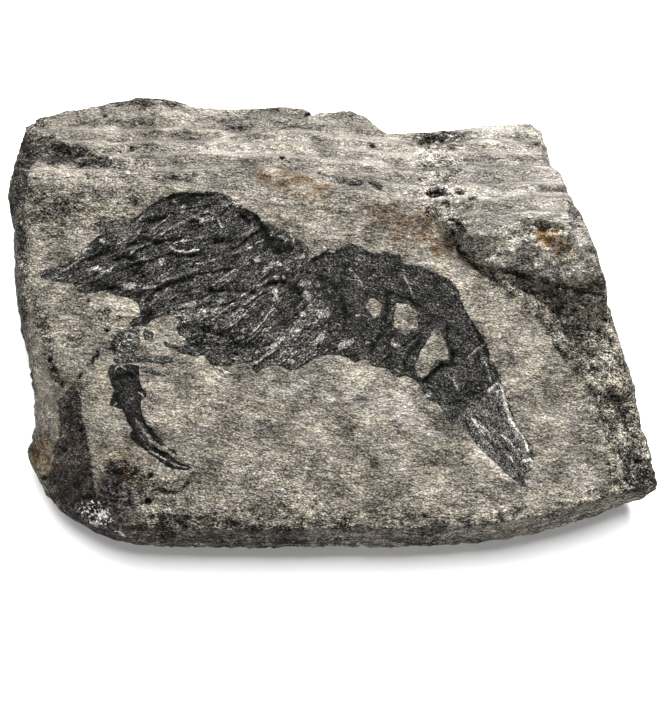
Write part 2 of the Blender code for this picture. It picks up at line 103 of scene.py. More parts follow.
# Where the bed turns down into the bevel, the crest and the foot of the shelf's riser,
# where the right flank begins, at its left and at its top, and where the left face does.
HINGE = [(-50, 17.4), (-8, 17.2), (8, 15.2), (50, 14.8)]
SHELF_CREST = [
    (12.8, 12.8), (15.4, 12), (17.2, 11.3), (18.4, 10.4), (19.4, 9.3), (20.4, 8.3), (21.5, 8),
    (22.8, 8.6), (24, 9.4), (25.8, 10.2), (28.8, 10.8), (31.7, 10.9), (33.6, 10.3), (35.2, 8.5),
    (37, 7), (45, 6),
]
SHELF_FOOT = [
    (12.8, 11.8), (15.9, 9), (18.2, 6.5), (21, 4.1), (24.9, 3.5), (30.6, 2.9), (34.6, 1.6),
    (45, 0.5),
]
FLANK_LEFT = [
    (23.5, 2), (28.2, -1.3), (32, -6.5), (34.1, -7.9), (35, -10.9), (36.9, -13.3), (37.2, -18.9),
    (39.3, -23.4), (40.2, -27.9), (40.6, -38),
]
FLANK_TOP = [
    (23.5, 3.4), (27, 3.4), (30, 2.9), (32.4, 2.2), (34.4, 1.5), (36, 1.6), (39.8, 2), (50, 1.6),
]
LEFT_EDGE = [
    (-46.5, 34), (-45.6, 21.8), (-45.2, 15.5), (-45, 9.2), (-45.4, 2.9), (-43.6, -4.8),
    (-40.9, -11.4), (-38.2, -13.7), (-37.3, -18.1), (-36.7, -22.3), (-35.4, -26.8),
    (-31.5, -31.5), (-28, -38),
]
# The ledge over the hollow at the back left corner.
HOLLOW_LEDGE = [(-46, 27.4), (-42.6, 25.5), (-38.4, 24.4), (-34.4, 22.8)]
# Clefts along the foot of the shelf and in the corners.
CLEFTS = [
    [(13.8, 12.7), (14.4, 12.1)], [(17.2, 11.1), (18.2, 10.3), (19.1, 9.4), (19.6, 8.8)],
    [(17.7, 9.2), (18.3, 8), (19.1, 6.3), (20.6, 4.8), (22.5, 3.1), (24.6, 2.1), (25.8, 1),
     (27.1, -0.3)],
    [(22.2, 4), (24.1, 3.4), (25.9, 3.7), (27.9, 3.1), (30.3, 2.8), (32.5, 1.9), (34.6, 1.1),
     (36.7, 1)],
    [(33, -1.9), (35, -0.5), (36.9, -0.2), (38.2, -0.9), (38.9, -1.6)],
    [(31.9, -6), (33.6, -8.9), (35.8, -11.4), (38, -13.9), (39.3, -15.3)],
    [(-44, 27.4), (-42.9, 26.1), (-41.2, 25), (-38.5, 24.3), (-36.8, 23.2), (-34.8, 22.4)],
    [(-2.1, 19.9), (1.9, 18.6), (4.4, 17.4)], [(5.6, 17.9), (7.1, 16.8)],
    [(-5.5, 31.9), (-3.6, 33.1)], [(-35, -8.8), (-35.9, -10.4), (-36.8, -11.5), (-37.7, -12.6)],
    [(-25.6, -29.2), (-24.7, -29.9), (-23.5, -30), (-22.3, -29.6), (-21.7, -28.6)],
    [(-25.9, -33.8), (-25.1, -33.3), (-24, -33.5), (-22.9, -34.1), (-21.6, -35)],
]
# Pits and holes: x, y, half length, half width.
PITS = [
    (15.1, 15.9, 1.4, 1), (19, 16.2, 0.8, 0.6), (20.8, 14.8, 0.9, 0.6), (14.2, 12.9, 0.5, 0.4),
    (-27.1, -27.3, 0.5, 0.4), (-43.5, -26.5, 0.6, 0.5), (-38.1, -28, 0.7, 0.5),
    (-36.1, -29.9, 1.3, 0.6), (-31.3, 25, 0.5, 0.45), (-27.3, -31.2, 0.6, 0.6),
    (-25.4, -35.5, 1.3, 0.6), (-26.6, -33.5, 0.5, 0.35), (-33.8, -5.5, 0.5, 0.35),
    (-36.1, 32.3, 0.4, 0.35), (-42.3, -9.8, 0.45, 0.45), (-41.6, -11.4, 0.3, 0.3),
    (-40.5, -13.4, 0.3, 0.35), (-39.5, -16.8, 0.4, 0.3), (-37.4, -20.5, 0.4, 0.4),
    (-40, -23, 0.5, 0.4), (-17, 29.7, 0.4, 0.3), (6, 26.4, 0.5, 0.4), (13.7, 24.5, 0.5, 0.3),
    (-7.9, 22.7, 0.4, 0.3), (31.7, 26.9, 0.4, 0.35), (40.5, -25.5, 0.6, 0.3),
    (-36.6, -0.9, 0.3, 0.25),
]


def lattice_angle(ix, iy, seed):
    """A fixed direction for each point of the whole-number lattice."""
    h = (ix * 374761393 + iy * 668265263 + seed * 974634777) & 0xFFFFFFFF
    h = ((h ^ (h >> 13)) * 1274126177) & 0xFFFFFFFF
    return ((h ^ (h >> 16)) & 0xFFFF) * (2 * math.pi / 65536)


def ripple(x, y, size, seed):
    """Smooth random relief between about -1 and 1, with lumps of the given size in mm."""
    x, y = np.asarray(x, float) / size, np.asarray(y, float) / size
    x0, y0 = np.floor(x).astype(np.int64), np.floor(y).astype(np.int64)
    fx, fy = x - x0, y - y0
    ux, uy = fx * fx * (3 - 2 * fx), fy * fy * (3 - 2 * fy)
    corner = []
    for dx, dy in ((0, 0), (1, 0), (0, 1), (1, 1)):
        angle = lattice_angle(x0 + dx, y0 + dy, seed)
        corner.append(np.cos(angle) * (fx - dx) + np.sin(angle) * (fy - dy))
    low = corner[0] * (1 - ux) + corner[1] * ux
    high = corner[2] * (1 - ux) + corner[3] * ux
    return 1.4 * (low * (1 - uy) + high * uy)


def smooth(low, high, value):
    """0 below the low end, 1 above the high end, and an even curve between them."""
    t = np.clip((value - low) / (high - low), 0, 1)
    return t * t * (3 - 2 * t)


def soft_min(a, b, reach):
    """The lower of two heights, with the corner between them rounded over a reach."""
    blend = np.clip(0.5 + 0.5 * (b - a) / reach, 0, 1)
    return b * (1 - blend) + a * blend - reach * blend * (1 - blend)


def follow(line, x):
    """Height of an open line, given left to right, over x."""
    return np.interp(x, [p[0] for p in line], [p[1] for p in line])


def follow_down(line, y):
    """x of a line given from a high y to a low y."""
    line = sorted(line, key=lambda p: p[1])
    return np.interp(y, [p[1] for p in line], [p[0] for p in line])


def away_from(line, x, y):
    """Distance from an open line."""
    nearest = np.full(np.shape(x), 1e9)
    for (ax, ay), (bx, by) in zip(line, line[1:]):
        dx, dy = bx - ax, by - ay
        along = np.clip(((x - ax) * dx + (y - ay) * dy) / (dx * dx + dy * dy), 0, 1)
        nearest = np.minimum(nearest, np.hypot(x - ax - along * dx, y - ay - along * dy))
    return nearest


def lines_sum(lines, x, y, width):
    """Height between 0 and 1 along any of several lines."""
    total = np.zeros(np.shape(x))
    for line in lines:
        total = np.maximum(total, smooth(width, 0, away_from(line, x, y)))
    return total


def block_form(x, y):
    """The main form of the block's top face, as the solid model has it: its height, how far
    the bevel's plane is above the layer, the flank's drop, and how far up the riser it is."""
    bed = BED + 0.3 * ripple(x, y, 17, 1) + 0.12 * ripple(x, y, 6, 2)
    scallop = 0.55 * ripple(x, y, 2.4, 8) + 0.40 * ripple(x, y, 1.1, 11)
    foot, crest = follow(SHELF_FOOT, x) + scallop, follow(SHELF_CREST, x) + scallop
    step = 0.88 * np.clip((y - foot) / (crest - foot), 0, 1)
    step = step + 0.12 * smooth(crest - 0.8, crest, y)
    step = step * smooth(*SHELF_STARTS, x)
    layer = bed + SHELF * step + 0.5 * step * ripple(x, y, 5, 3)
    bevel = BED + BEVEL * (follow(HINGE, x) - y) + 0.7 * ripple(x, y, 9, 4)
    bevel = bevel + 0.5 * np.sin(2.1 * bevel + 1.5 * ripple(x, y, 15, 5))
    height = soft_min(layer, bevel, 2.2)
    height = soft_min(height, BED + FRONT_FALL * (y - FRONT_Y) + 2.5, 2.0)
    left = follow_down(LEFT_EDGE, y)
    height = soft_min(height, BED + LEFT_FALL * (x - left) + 0.6 * ripple(x, y, 8, 6), 1.6)
    flank = follow_down(FLANK_LEFT, np.minimum(y, 2.0))
    right_drop = FLANK_FALL * (x - flank + 0.8 * ripple(x, y, 3, 12))
    top_drop = RISER_FALL * (follow(FLANK_TOP, x) + 0.7 * ripple(x, y, 1.8, 13) - y)
    drop = -soft_min(0, -soft_min(right_drop, top_drop, 1.5), 1.2)
    height = height - drop - 0.5 * smooth(0, 3, drop) * (1 + ripple(x, y, 5, 7))
    height = height - CORNER_FALL * np.maximum(0, x - CORNER_X) * smooth(0, 6, y)
    hollow = follow(HOLLOW_LEDGE, x) - y
    hollow = smooth(0, 1.2, hollow) * smooth(7, 2.5, hollow) * smooth(-33.5, -36, x)
    height = -soft_min(-height, -LOWEST, 2.0)
    return height - 1.1 * hollow, bevel - layer, drop, step


def rock_surface(x, y):
    """The top face with its broken laminae, pits and grain; then that relief alone."""
    form, over, drop, step = block_form(x, y)
    across = np.maximum(smooth(3.0, -1.0, over), smooth(0.3, 1.6, drop))
    level = lamina_level(x, y, form)
    bands = 0.34 * ripple(x * 0.05, level, 1.9, 41) + 0.16 * ripple(x * 0.08, level, 0.8, 42)
    riser = smooth(0.02, 0.2, step) * smooth(1.0, 0.8, step)
    rough = 1 + 0.8 * smooth(0.2, 1.2, drop) + riser
    grain = 0.14 * ripple(x * 0.8, y, 1.3, 44) + 0.10 * ripple(x * 0.9, y, 0.75, 45)
    lumps = 0.34 * ripple(x * 0.75, y, 2.9, 46) + 0.26 * ripple(x, y, 5.5, 47)
    relief = across * bands + rough * (rough * grain + lumps)
    relief = relief - 0.6 * cleft_marks(x, y, 0.6) - 0.9 * pit_marks(x, y)
    return form + relief, relief


def pit_marks(x, y):
    """How deep a place lies in the pits; just outside them a low rim stands up."""
    deepest = np.zeros(np.shape(x))
    for px, py, length, width in PITS:
        near = np.hypot((x - px) / length, (y - py) / width) + 0.35 * ripple(x, y, 0.9, 48)
        deepest = np.maximum(deepest, smooth(1.1, 0.6, near) - 0.15 * smooth(0.4, 0, near - 1.1))
    return deepest


def cleft_marks(x, y, width):
    """How deep a place lies in the clefts, which wander and break off."""
    wander = 0.3 * ripple(x, y, 0.9, 53)
    cleft = lines_sum(CLEFTS, x + wander, y - wander, width)
    return cleft * smooth(-0.55, 0.15, ripple(x, y, 1.5, 75))


def lamina_level(x, y, z):
    """Which lamina of the stone a place lies in: its height, with the laminae's waves."""
    return z + 1.0 * ripple(x, y * 1.4, 15, 49) + 0.30 * ripple(x, y, 4, 50)


def to_frame(x, y, z):
    """Places on the sheet, in the frame's metres."""
    return ((x + SHEET_ZERO[0]) * MM, (y + SHEET_ZERO[1]) * MM, z * MM)


def side_point(side, share):
    """Points at shares of the length of one side of the widest outline."""
    points = np.array(side, float)
    steps = np.hypot(np.diff(points[:, 0]), np.diff(points[:, 1]))
    run = np.concatenate(([0], np.cumsum(steps))) / steps.sum()
    return np.stack([np.interp(share, run, points[:, k]) for k in range(3)], axis=-1)


def sheet_point(u, v):
    """Places inside the widest outline, from its four sides."""
    u, v = np.asarray(u, float), np.asarray(v, float)
    left, right = side_point(LEFT_RIM, v), side_point(RIGHT_RIM, v)
    front, back = side_point(FRONT_RIM, u), side_point(BACK_RIM, u)
    u, v = u[..., None], v[..., None]
    corners = (
        (1 - u) * (1 - v) * np.array(FRONT_RIM[0]) + u * (1 - v) * np.array(FRONT_RIM[-1])
        + (1 - u) * v * np.array(BACK_RIM[0]) + u * v * np.array(BACK_RIM[-1])
    )
    return (1 - v) * front + v * back + (1 - u) * left + u * right - corners


def side_place(brow, rim, level):
    """Places on the broken sides, at a level: 0 brow, 1 widest outline, 2 underside."""
    if level <= 1:
        turn = level * math.pi / 2
        spot = brow[:, :2] + (rim[:, :2] - brow[:, :2]) * math.sin(turn)
        z = rim[:, 2] + (brow[:, 2] - rim[:, 2]) * math.cos(turn)
    else:
        turn = (level - 1) * math.pi / 2
        draw = UNDERCUT + CORNER_UNDERCUT * smooth(30, 50, abs(rim[:, :1]))
        spot = rim[:, :2] * (1 - draw * (1 - math.cos(turn)))
        z = rim[:, 2] * (1 - math.sin(turn))
    pull = np.interp(level, SIDE_LEVELS, SIDE_PULL)
    slant = 1.9 * z
    x, y = spot[:, 0], spot[:, 1]
    broken = abs(ripple(x + slant, y - slant, 8, 9) + 0.6 * ripple(x, z, 4, 10))
    run = x + y
    laminae = abs(ripple(run * 0.25, z, 1.1, 51)) + 0.6 * abs(ripple(run, z * 1.6, 1.2, 52))
    inset = pull * broken + min(1, 4 * level) * (0.5 * laminae + 0.12)
    inward = spot / np.linalg.norm(spot, axis=1, keepdims=True)
    spot = spot - inward * inset[:, None]
    return spot[:, 0], spot[:, 1], z


FILMS = []                       # distance from each cuticle film's outline, filled in below
FILM_SEAT = 0.9                  # how deep the rock sinks away under a film, mm
LEVEL_SPAN = 60.0                # height of stone that the painted level runs over, mm


def block_mesh():
    """The rock: a fine grid for the top face, which sinks under the films, drawn down row
    by row into the broken sides, and closed with a flat underside."""
    bm = bmesh.new()
    bmesh.ops.create_grid(bm, x_segments=TOP_CELLS[0], y_segments=TOP_CELLS[1], size=0.5)
    verts = list(bm.verts)
    uv = np.array([vert.co[:2] for vert in verts]) + 0.5
    inner_u = BROW["left"] + (1 - BROW["left"] - BROW["right"]) * uv[:, 0]
    inner_v = BROW["front"] + (1 - BROW["front"] - BROW["back"]) * uv[:, 1]
    place = sheet_point(inner_u, inner_v)
    x, y = place[:, 0], place[:, 1]
    z = rock_surface(x, y)[0]
    for inside in FILMS:
        z = z - FILM_SEAT * smooth(0.0, -0.45, inside(x, y))
    for vert, spot in zip(verts, zip(*to_frame(x, y, z))):
        vert.co = spot
    # A vertex of the sides looks up its brow and rim places by where it was extruded from.
    brow_of = {}
    rim = sheet_point(uv[:, 0], uv[:, 1])
    for k, vert in enumerate(verts):
        if vert.is_boundary:
            brow_of[tuple(vert.co)] = ((x[k], y[k], z[k]), rim[k])
    edges = [e for e in bm.edges if e.is_boundary]
    for row in range(1, SIDE_ROWS + 1):
        grown = bmesh.ops.extrude_edge_only(bm, edges=edges)["geom"]
        edges = [g for g in grown if isinstance(g, bmesh.types.BMEdge) and g.is_boundary]
        ring = list({v for e in edges for v in e.verts})
        known = [brow_of[tuple(v.co)] for v in ring]
        brow = np.array([k[0] for k in known])
        rims = np.array([k[1] for k in known])
        spots = side_place(brow, rims, 2 * row / SIDE_ROWS)
        brow_of = {}
        for vert, spot, where in zip(ring, zip(*to_frame(*spots)), known):
            vert.co = spot
            brow_of[tuple(vert.co)] = where
    bmesh.ops.contextual_create(bm, geom=edges)
    bmesh.ops.triangulate(bm, faces=[f for f in bm.faces if len(f.verts) > 4])
    bmesh.ops.recalc_face_normals(bm, faces=bm.faces)
    return bm


def new_piece(name, bm, material):
    """A finished piece of the part from its mesh, fixed to the part's one body."""
    mesh = bpy.data.meshes.new(name)
    bm.to_mesh(mesh)
    bm.free()
    piece = bpy.data.objects.new(name, mesh)
    bpy.context.scene.collection.objects.link(piece)
    mesh.materials.append(material)
    mesh.shade_smooth()
    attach(piece, "root")
    return piece


def sheet_places(piece):
    """The piece's vertices back on the sheet, in millimetres."""
    flat = np.empty(len(piece.data.vertices) * 3)
    piece.data.vertices.foreach_get("co", flat)
    flat = flat.reshape(-1, 3) / MM
    return flat[:, 0] - SHEET_ZERO[0], flat[:, 1] - SHEET_ZERO[1], flat[:, 2]


def paint(piece, name, values):
    """Keeps a value for each vertex under a name that a material reads."""
    layer = piece.data.attributes.new(name, "FLOAT", "POINT")
    layer.data.foreach_set("value", np.clip(values, 0, 1).astype(np.float32))


def linear(code):
    """An sRGB hex colour as linear values."""
    parts = [int(code[k:k + 2], 16) / 255 for k in (1, 3, 5)]
    return (*[p / 12.92 if p <= 0.04045 else ((p + 0.055) / 1.055) ** 2.4 for p in parts], 1)


def add(tree, kind, inputs=(), **settings):
    """One node with its settings. Its inputs are given in order or by socket, and each is a
    value, another node's output, or a node, which stands for its first output."""
    made = tree.nodes.new("ShaderNode" + kind)
    for name, value in settings.items():
        setattr(made, name, value)
    given = inputs if isinstance(inputs, dict) else dict(enumerate(inputs))
    for socket, value in given.items():
        if isinstance(value, bpy.types.Node):
            value = value.outputs[0]
        if isinstance(value, bpy.types.NodeSocket):
            tree.links.new(value, made.inputs[socket])
        else:
            made.inputs[socket].default_value = value
    return made


def finish_material(name):
    """An opaque finish and its shader."""
    material = bpy.data.materials.new(name)
    material.use_nodes = True
    return material, material.node_tree.nodes["Principled BSDF"]


GRAIN_TURN = -0.14               # how the stone's grain runs on the bed, radians


def speckle(tree, lump, seed, low, high, detail=3.0, where=None, turn=GRAIN_TURN):
    """Random pattern with lumps of a length, width and height in mm, cut to 0 to 1."""
    spread = add(tree, "Mapping", {
        "Vector": where or add(tree, "TexCoord").outputs["Object"],
        "Location": (seed * 0.137, seed * 0.111, seed * 0.123),
        "Rotation": (0, 0, turn),
        "Scale": [size * MM for size in lump],
    }, vector_type="TEXTURE")
    grown = {"Vector": spread, "Scale": 1.0, "Detail": detail, "Roughness": 0.62}
    ranged = {"Value": add(tree, "TexNoise", grown), "From Min": low, "From Max": high}
    return add(tree, "MapRange", ranged)


def frayed(tree, painted, size, seed, soft=0.4):
    """A painted value cut to a crisp, frayed edge; at half strength it breaks into flecks."""
    flecks = speckle(tree, size, seed, 0.30, 0.70)
    total = add(tree, "Math", (painted, 1.4, flecks), operation="MULTIPLY_ADD")
    ranged = {"Value": total, "From Min": 1.2 - soft / 2, "From Max": 1.2 + soft / 2}
    return add(tree, "MapRange", ranged)


def summed(tree, tone, layers):
    """A value with layers added to it, each a pattern or painted value and its share."""
    for layer, share in layers:
        tone = add(tree, "Math", (layer, share, tone), operation="MULTIPLY_ADD")
    return tone


def toned(tree, base, layers, turn=GRAIN_TURN):
    """A lightness, even to the eye, built up from random layers: the lumps' size in mm, a
    seed, the range cut to 0 to 1, and how much the layer counts."""
    spots = [(speckle(tree, *layer[:-1], turn=turn), layer[-1]) for layer in layers]
    return summed(tree, base - sum(layer[-1] for layer in layers) / 2, spots)


def coloured(tree, tone, light):
    """The colour of a lightness: black at 0, the light colour at 1."""
    tone = add(tree, "Math", (tone, 0.02), operation="MAXIMUM")
    tone = add(tree, "Math", (tone, 2.2), operation="POWER")
    ends = {0: tone, 6: linear("#000000"), 7: linear(light)}
    return add(tree, "Mix", ends, data_type="RGBA").outputs[2]


def hairlines(tree, lump, seed, width, where=None, turn=GRAIN_TURN):
    """Thin broken lines, where a drawn-out random pattern passes through its middle."""
    level = speckle(tree, lump, seed, 0.0, 1.0, 2.0, where, turn)
    off = add(tree, "Math", (level, 0.5), operation="SUBTRACT")
    off = add(tree, "Math", (off,), operation="ABSOLUTE")
    line = add(tree, "MapRange", {"Value": off, "From Min": width, "From Max": 0.0})
    pieces = speckle(tree, (lump[0] / 4, 2.0, 2.0), seed + 2, 0.42, 0.55, turn=turn)
    return add(tree, "Math", (line, pieces), operation="MULTIPLY")


def shale_material():
    """Sandy shale: dull quartz and clay grains that catch the light one by one, drawn out
    along the bedding, browner where it has weathered and rusty where iron has seeped. The
    sand grains are drawn at about twice their size, so that they show."""
    material, shader = finish_material("sandy_shale")
    tree = material.node_tree
    painted = {
        name: add(tree, "Attribute", attribute_name=name).outputs["Fac"]
        for name in ("level", "relief", "broken", "pale", "shaded",
                     "rust", "ochre", "crust", "chalk", "dark")
    }
    place = add(tree, "SeparateXYZ", (add(tree, "TexCoord").outputs["Object"],))
    level = add(tree, "Math", (painted["level"], LEVEL_SPAN * MM), operation="MULTIPLY")
    bedding = add(tree, "CombineXYZ", (place.outputs[0], place.outputs[1], level))
    strata = speckle(tree, (22.0, 22.0, 1.3), 9, 0.38, 0.62, 4.0, bedding)
    strata = add(tree, "Math", (strata, 0.25), operation="ADD")
    strata = add(tree, "Math", (strata, painted["pale"]), operation="MULTIPLY")
    lines = hairlines(tree, (16.0, 16.0, 1.1), 10, 0.030, bedding)
    lines = add(tree, "Math", (lines, painted["broken"]), operation="MULTIPLY")
    flecks = frayed(tree, painted["dark"], (1.1, 0.8, 0.8), 18)
    grain = toned(tree, 0.0, (
        ((0.32, 0.21, 0.21), 1, 0.38, 0.62, 0.31),
        ((1.0, 0.6, 0.6), 2, 0.38, 0.62, 0.11),
        ((2.3, 1.4, 1.4), 3, 0.38, 0.62, 0.11),
        ((9.0, 6.0, 6.0), 5, 0.38, 0.62, 0.10),
    ))
    # The grain is stronger where the stone is shaded or dark.
    strength = summed(tree, 1.0, ((painted["shaded"], 0.8), (painted["dark"], 1.0)))
    lightness = 0.335            # of the clean stone
    tone = add(tree, "Math", (grain, strength, lightness), operation="MULTIPLY_ADD")
    # The painted relief makes the lows, clefts and pits darker and the highs lighter: painted
    # shade. The dark mark adds stains and painted shadow alike.
    tone = summed(tree, tone, (
        (painted["relief"], 0.22), (strata, 0.18), (lines, -0.17),
        (painted["dark"], -0.14), (flecks, -0.15),
    ))
    tint = speckle(tree, (3.0, 2.0, 2.0), 19, 0.36, 0.64)
    tint = {0: tint, 6: linear("#fff9ee"), 7: linear("#fbf8fa")}
    tint = add(tree, "Mix", tint, data_type="RGBA").outputs[2]
    blotch = speckle(tree, (2.2, 1.5, 1.5), 4, 0.34, 0.58)
    rust = add(tree, "Math", (painted["rust"], blotch), operation="MULTIPLY")
    ochre = add(tree, "Math", (painted["ochre"], blotch), operation="MULTIPLY")
    crust = toned(tree, 0.21, (((0.4, 0.3, 0.3), 21, 0.44, 0.60, 0.24),
                               ((0.9, 0.8, 0.8), 22, 0.40, 0.60, 0.24)))
    chips = toned(tree, 0.92, (((0.4, 0.3, 0.3), 23, 0.42, 0.58, 0.40),))
    chalk = frayed(tree, painted["chalk"], (0.7, 0.5, 0.5), 6, 0.15)
    # Each coat over the stone's own colour: where it lies, its colour, and how it is laid.
    colour = coloured(tree, tone, "#fcf4e3")
    for where, coat, manner in (
        (painted["pale"], linear("#f6f8ff"), "MULTIPLY"),
        (0.7, tint, "MULTIPLY"),
        (rust, linear("#c7aa88"), "MULTIPLY"),
        (ochre, linear("#d2bc90"), "MULTIPLY"),
        (painted["crust"], coloured(tree, crust, "#fbe6e6"), "MIX"),
        (chalk, coloured(tree, chips, "#fbfaf6"), "MIX"),
    ):
        laid = {0: where, 6: colour, 7: coat}
        colour = add(tree, "Mix", laid, data_type="RGBA", blend_type=manner).outputs[2]
    tree.links.new(colour, shader.inputs["Base Color"])
    fine = speckle(tree, (0.40, 0.27, 0.27), 7, 0.2, 0.8, 3.0)
    coarse = speckle(tree, (1.4, 0.85, 0.8), 8, 0.2, 0.8, 3.0)
    relief = summed(tree, fine, ((coarse, 2.2), (lines, -0.8)))
    bump = add(tree, "Bump", {"Height": relief, "Strength": 1.0, "Distance": 0.75 * MM})
    tree.links.new(bump.outputs[0], shader.inputs["Normal"])
    shader.inputs["Roughness"].default_value = 0.9
    shader.inputs["Specular IOR Level"].default_value = 0.08
    return material


# ==== The cuticle films ====
# What is left of the shrimp's shell: a film of black, carbonised cuticle that stuck to the
# bed when the layer above split away. It grew as plates, so each plate is a film of its own.
FILM_DEPTH = 0.6                 # from a film's top to its underside in the rock, mm
FAR = 1.5                        # distances from an outline are worked out up to here, mm
SNAP = 0.7                       # grid points this near an outline, in cells, move onto it
TRIM = 0.45                      # faces that reach further past it, in cells, are cut away


def ragged(outline, seed, wobble=0.14, step=0.18):
    """The outline in short steps, with the small nicks of a torn film."""
    points = np.array(outline + outline[:1], float)
    lengths = np.hypot(*np.diff(points, axis=0).T)
    run = np.concatenate(([0], np.cumsum(lengths)))
    at = np.arange(0, run[-1], step)
    x, y = np.interp(at, run, points[:, 0]), np.interp(at, run, points[:, 1])
    for size, share in ((0.9, 1.0), (0.35, 0.7)):
        x = x + share * wobble * ripple(at, 0 * at + seed, size, 61)
        y = y + share * wobble * ripple(at, 0 * at + seed + 9.5, size, 62)
    return list(zip(x, y))


def signed_distance(outline, x, y):
    """Distance from a closed outline, negative inside it."""
    low, high = np.min(outline, axis=0) - FAR, np.max(outline, axis=0) + FAR
    near = (x > low[0]) & (x < high[0]) & (y > low[1]) & (y < high[1])
    result = np.full(np.shape(x), FAR)
    px, py = x[near], y[near]
    within = np.zeros(px.shape, bool)
    for (ax, ay), (bx, by) in zip(outline, outline[1:] + outline[:1]):
        if ay != by:
            crosses = (ay > py) != (by > py)
            within ^= crosses & (px < (bx - ax) * (py - ay) / (by - ay) + ax)
    distance = away_from(outline + outline[:1], px, py)
    result[near] = np.where(within, -distance, distance)
    return result


def film_field(scraps, windows=()):
    """Signed distance from the scraps of a film, with its windows left open."""
    def field(x, y):
        inside = np.min([signed_distance(scrap, x, y) for scrap in scraps], axis=0)
        for window in windows:
            inside = np.maximum(inside, -signed_distance(window, x, y))
        return inside
    return field


def spots_sum(spots, x, y):
    """1 inside any of several lobed spots: x, y, length, width, turn in degrees."""
    total = np.zeros(np.shape(x))
    for cx, cy, length, width, turn in spots:
        c, s = math.cos(math.radians(turn)), math.sin(math.radians(turn))
        u, v = (x - cx) * c + (y - cy) * s, -(x - cx) * s + (y - cy) * c
        near = np.hypot(2 * u / length, 2 * v / width) + 0.35 * ripple(x, y, 0.8, 63)
        total = np.maximum(total, smooth(1.15, 0.8, near))
    return total


def covered(patches, x, y, fray, ramp):
    """How strongly any of the patches, each a strength and an outline, covers a place."""
    total = np.zeros(np.shape(x))
    for strength, outline in patches:
        inside = signed_distance(outline, x, y) + fray
        total = np.maximum(total, strength * smooth(ramp, -ramp, inside))
    return total


def film_mesh(field, low, high, relief, cell):
    """A film: a fine grid trimmed to its outline, with an underside in the rock."""
    bm = bmesh.new()
    cells = [round(span / cell) for span in high - low]
    bmesh.ops.create_grid(bm, x_segments=cells[0], y_segments=cells[1], size=0.5)
    bm.verts.ensure_lookup_table()
    uv = np.array([vert.co[:2] for vert in bm.verts]) + 0.5
    x, y = (low + (high - low) * uv).T
    inside = field(x, y)
    gone = [f for f in bm.faces if max(inside[v.index] for v in f.verts) > TRIM * cell]
    reach = 0.05                 # mm, to find which way the outline lies
    slope_x = (field(x + reach, y) - field(x - reach, y)) / (2 * reach)
    slope_y = (field(x, y + reach) - field(x, y - reach)) / (2 * reach)
    back = np.where(abs(inside) < SNAP * cell, inside, 0)
    x, y = x - back * slope_x, y - back * slope_y
    inside = np.where(abs(inside) < SNAP * cell, 0, inside)
    z = rock_surface(x, y)[0] + relief(x, y, inside)
    for vert, spot in zip(bm.verts, zip(*to_frame(x, y, z))):
        vert.co = spot
    bmesh.ops.delete(bm, geom=gone, context="FACES")
    # Cut away what would hang on by a single point.
    pinched = True
    while pinched:
        pinched = [v for v in bm.verts if sum(e.is_boundary for e in v.link_edges) > 2]
        bmesh.ops.delete(bm, geom=pinched, context="VERTS")
    loose = [v for v in bm.verts if not v.link_faces]
    bmesh.ops.delete(bm, geom=loose, context="VERTS")
    top = list(bm.faces)
    grown = bmesh.ops.extrude_face_region(bm, geom=top, use_keep_orig=True)["geom"]
    under = [g for g in grown if isinstance(g, bmesh.types.BMVert)]
    for vert in under:
        vert.co.z -= FILM_DEPTH * MM
    bmesh.ops.recalc_face_normals(bm, faces=bm.faces)
    return bm


def cuticle_material(name, lightness, contrast, turn):
    """Carbonised cuticle: a dull black film with a faint sheen, dusted with grey grains of
    the rock it was pressed into. Its crests get painted highlights, where the film is also
    rubbed through to the rock, and its hollows get painted shade. The dust is drawn at about
    twice its size, so that it shows."""
    material, shader = finish_material(name)
    tree = material.node_tree
    crest, bare, deep = [
        add(tree, "Attribute", attribute_name=mark).outputs["Fac"]
        for mark in ("crest", "bare", "deep")
    ]
    tone = toned(tree, lightness, (
        ((0.25, 0.17, 0.17), 11, 0.40, 0.62, 0.42 * contrast),
        ((0.9, 0.5, 0.5), 12, 0.38, 0.62, 0.07 * contrast),
        ((3.0, 2.0, 2.0), 13, 0.38, 0.62, 0.10 * contrast),
    ), turn)
    hairs = hairlines(tree, (4.5, 1.3, 1.3), 24, 0.022, turn=turn)
    cracks = hairlines(tree, (4.0, 1.5, 1.5), 28, 0.026, turn=turn + 0.2)
    rubbed = speckle(tree, (0.5, 0.3, 0.3), 16, 0.30, 0.56, turn=turn)
    ridge_light_and_wear = add(tree, "Math", (crest, rubbed), operation="MULTIPLY")
    flaked = frayed(tree, bare, (0.5, 0.34, 0.34), 17)
    # The crest mark lightens the film as painted highlight and rub wear; the deep mark darkens it
    # as painted shade.
    tone = summed(tree, tone, (
        (hairs, 0.30 * contrast), (cracks, -0.16), (ridge_light_and_wear, 0.58), (flaked, 0.29), (deep, -0.20),
    ))
    tree.links.new(coloured(tree, tone, "#fffbf0"), shader.inputs["Base Color"])
    fine = speckle(tree, (0.42, 0.26, 0.26), 14, 0.2, 0.8, 4.0, turn=turn)
    coarse = speckle(tree, (1.4, 0.8, 0.8), 15, 0.2, 0.8, 4.0, turn=turn)
    lines = add(tree, "Math", (hairs, cracks), operation="SUBTRACT")
    relief = summed(tree, fine, ((coarse, 1.7), (lines, 0.5)))
    bump = add(tree, "Bump", {"Height": relief, "Strength": 1.0, "Distance": 0.45 * MM})
    tree.links.new(bump.outputs[0], shader.inputs["Normal"])
    shader.inputs["Roughness"].default_value = 0.55
    shader.inputs["Specular IOR Level"].default_value = 0.10
    return material


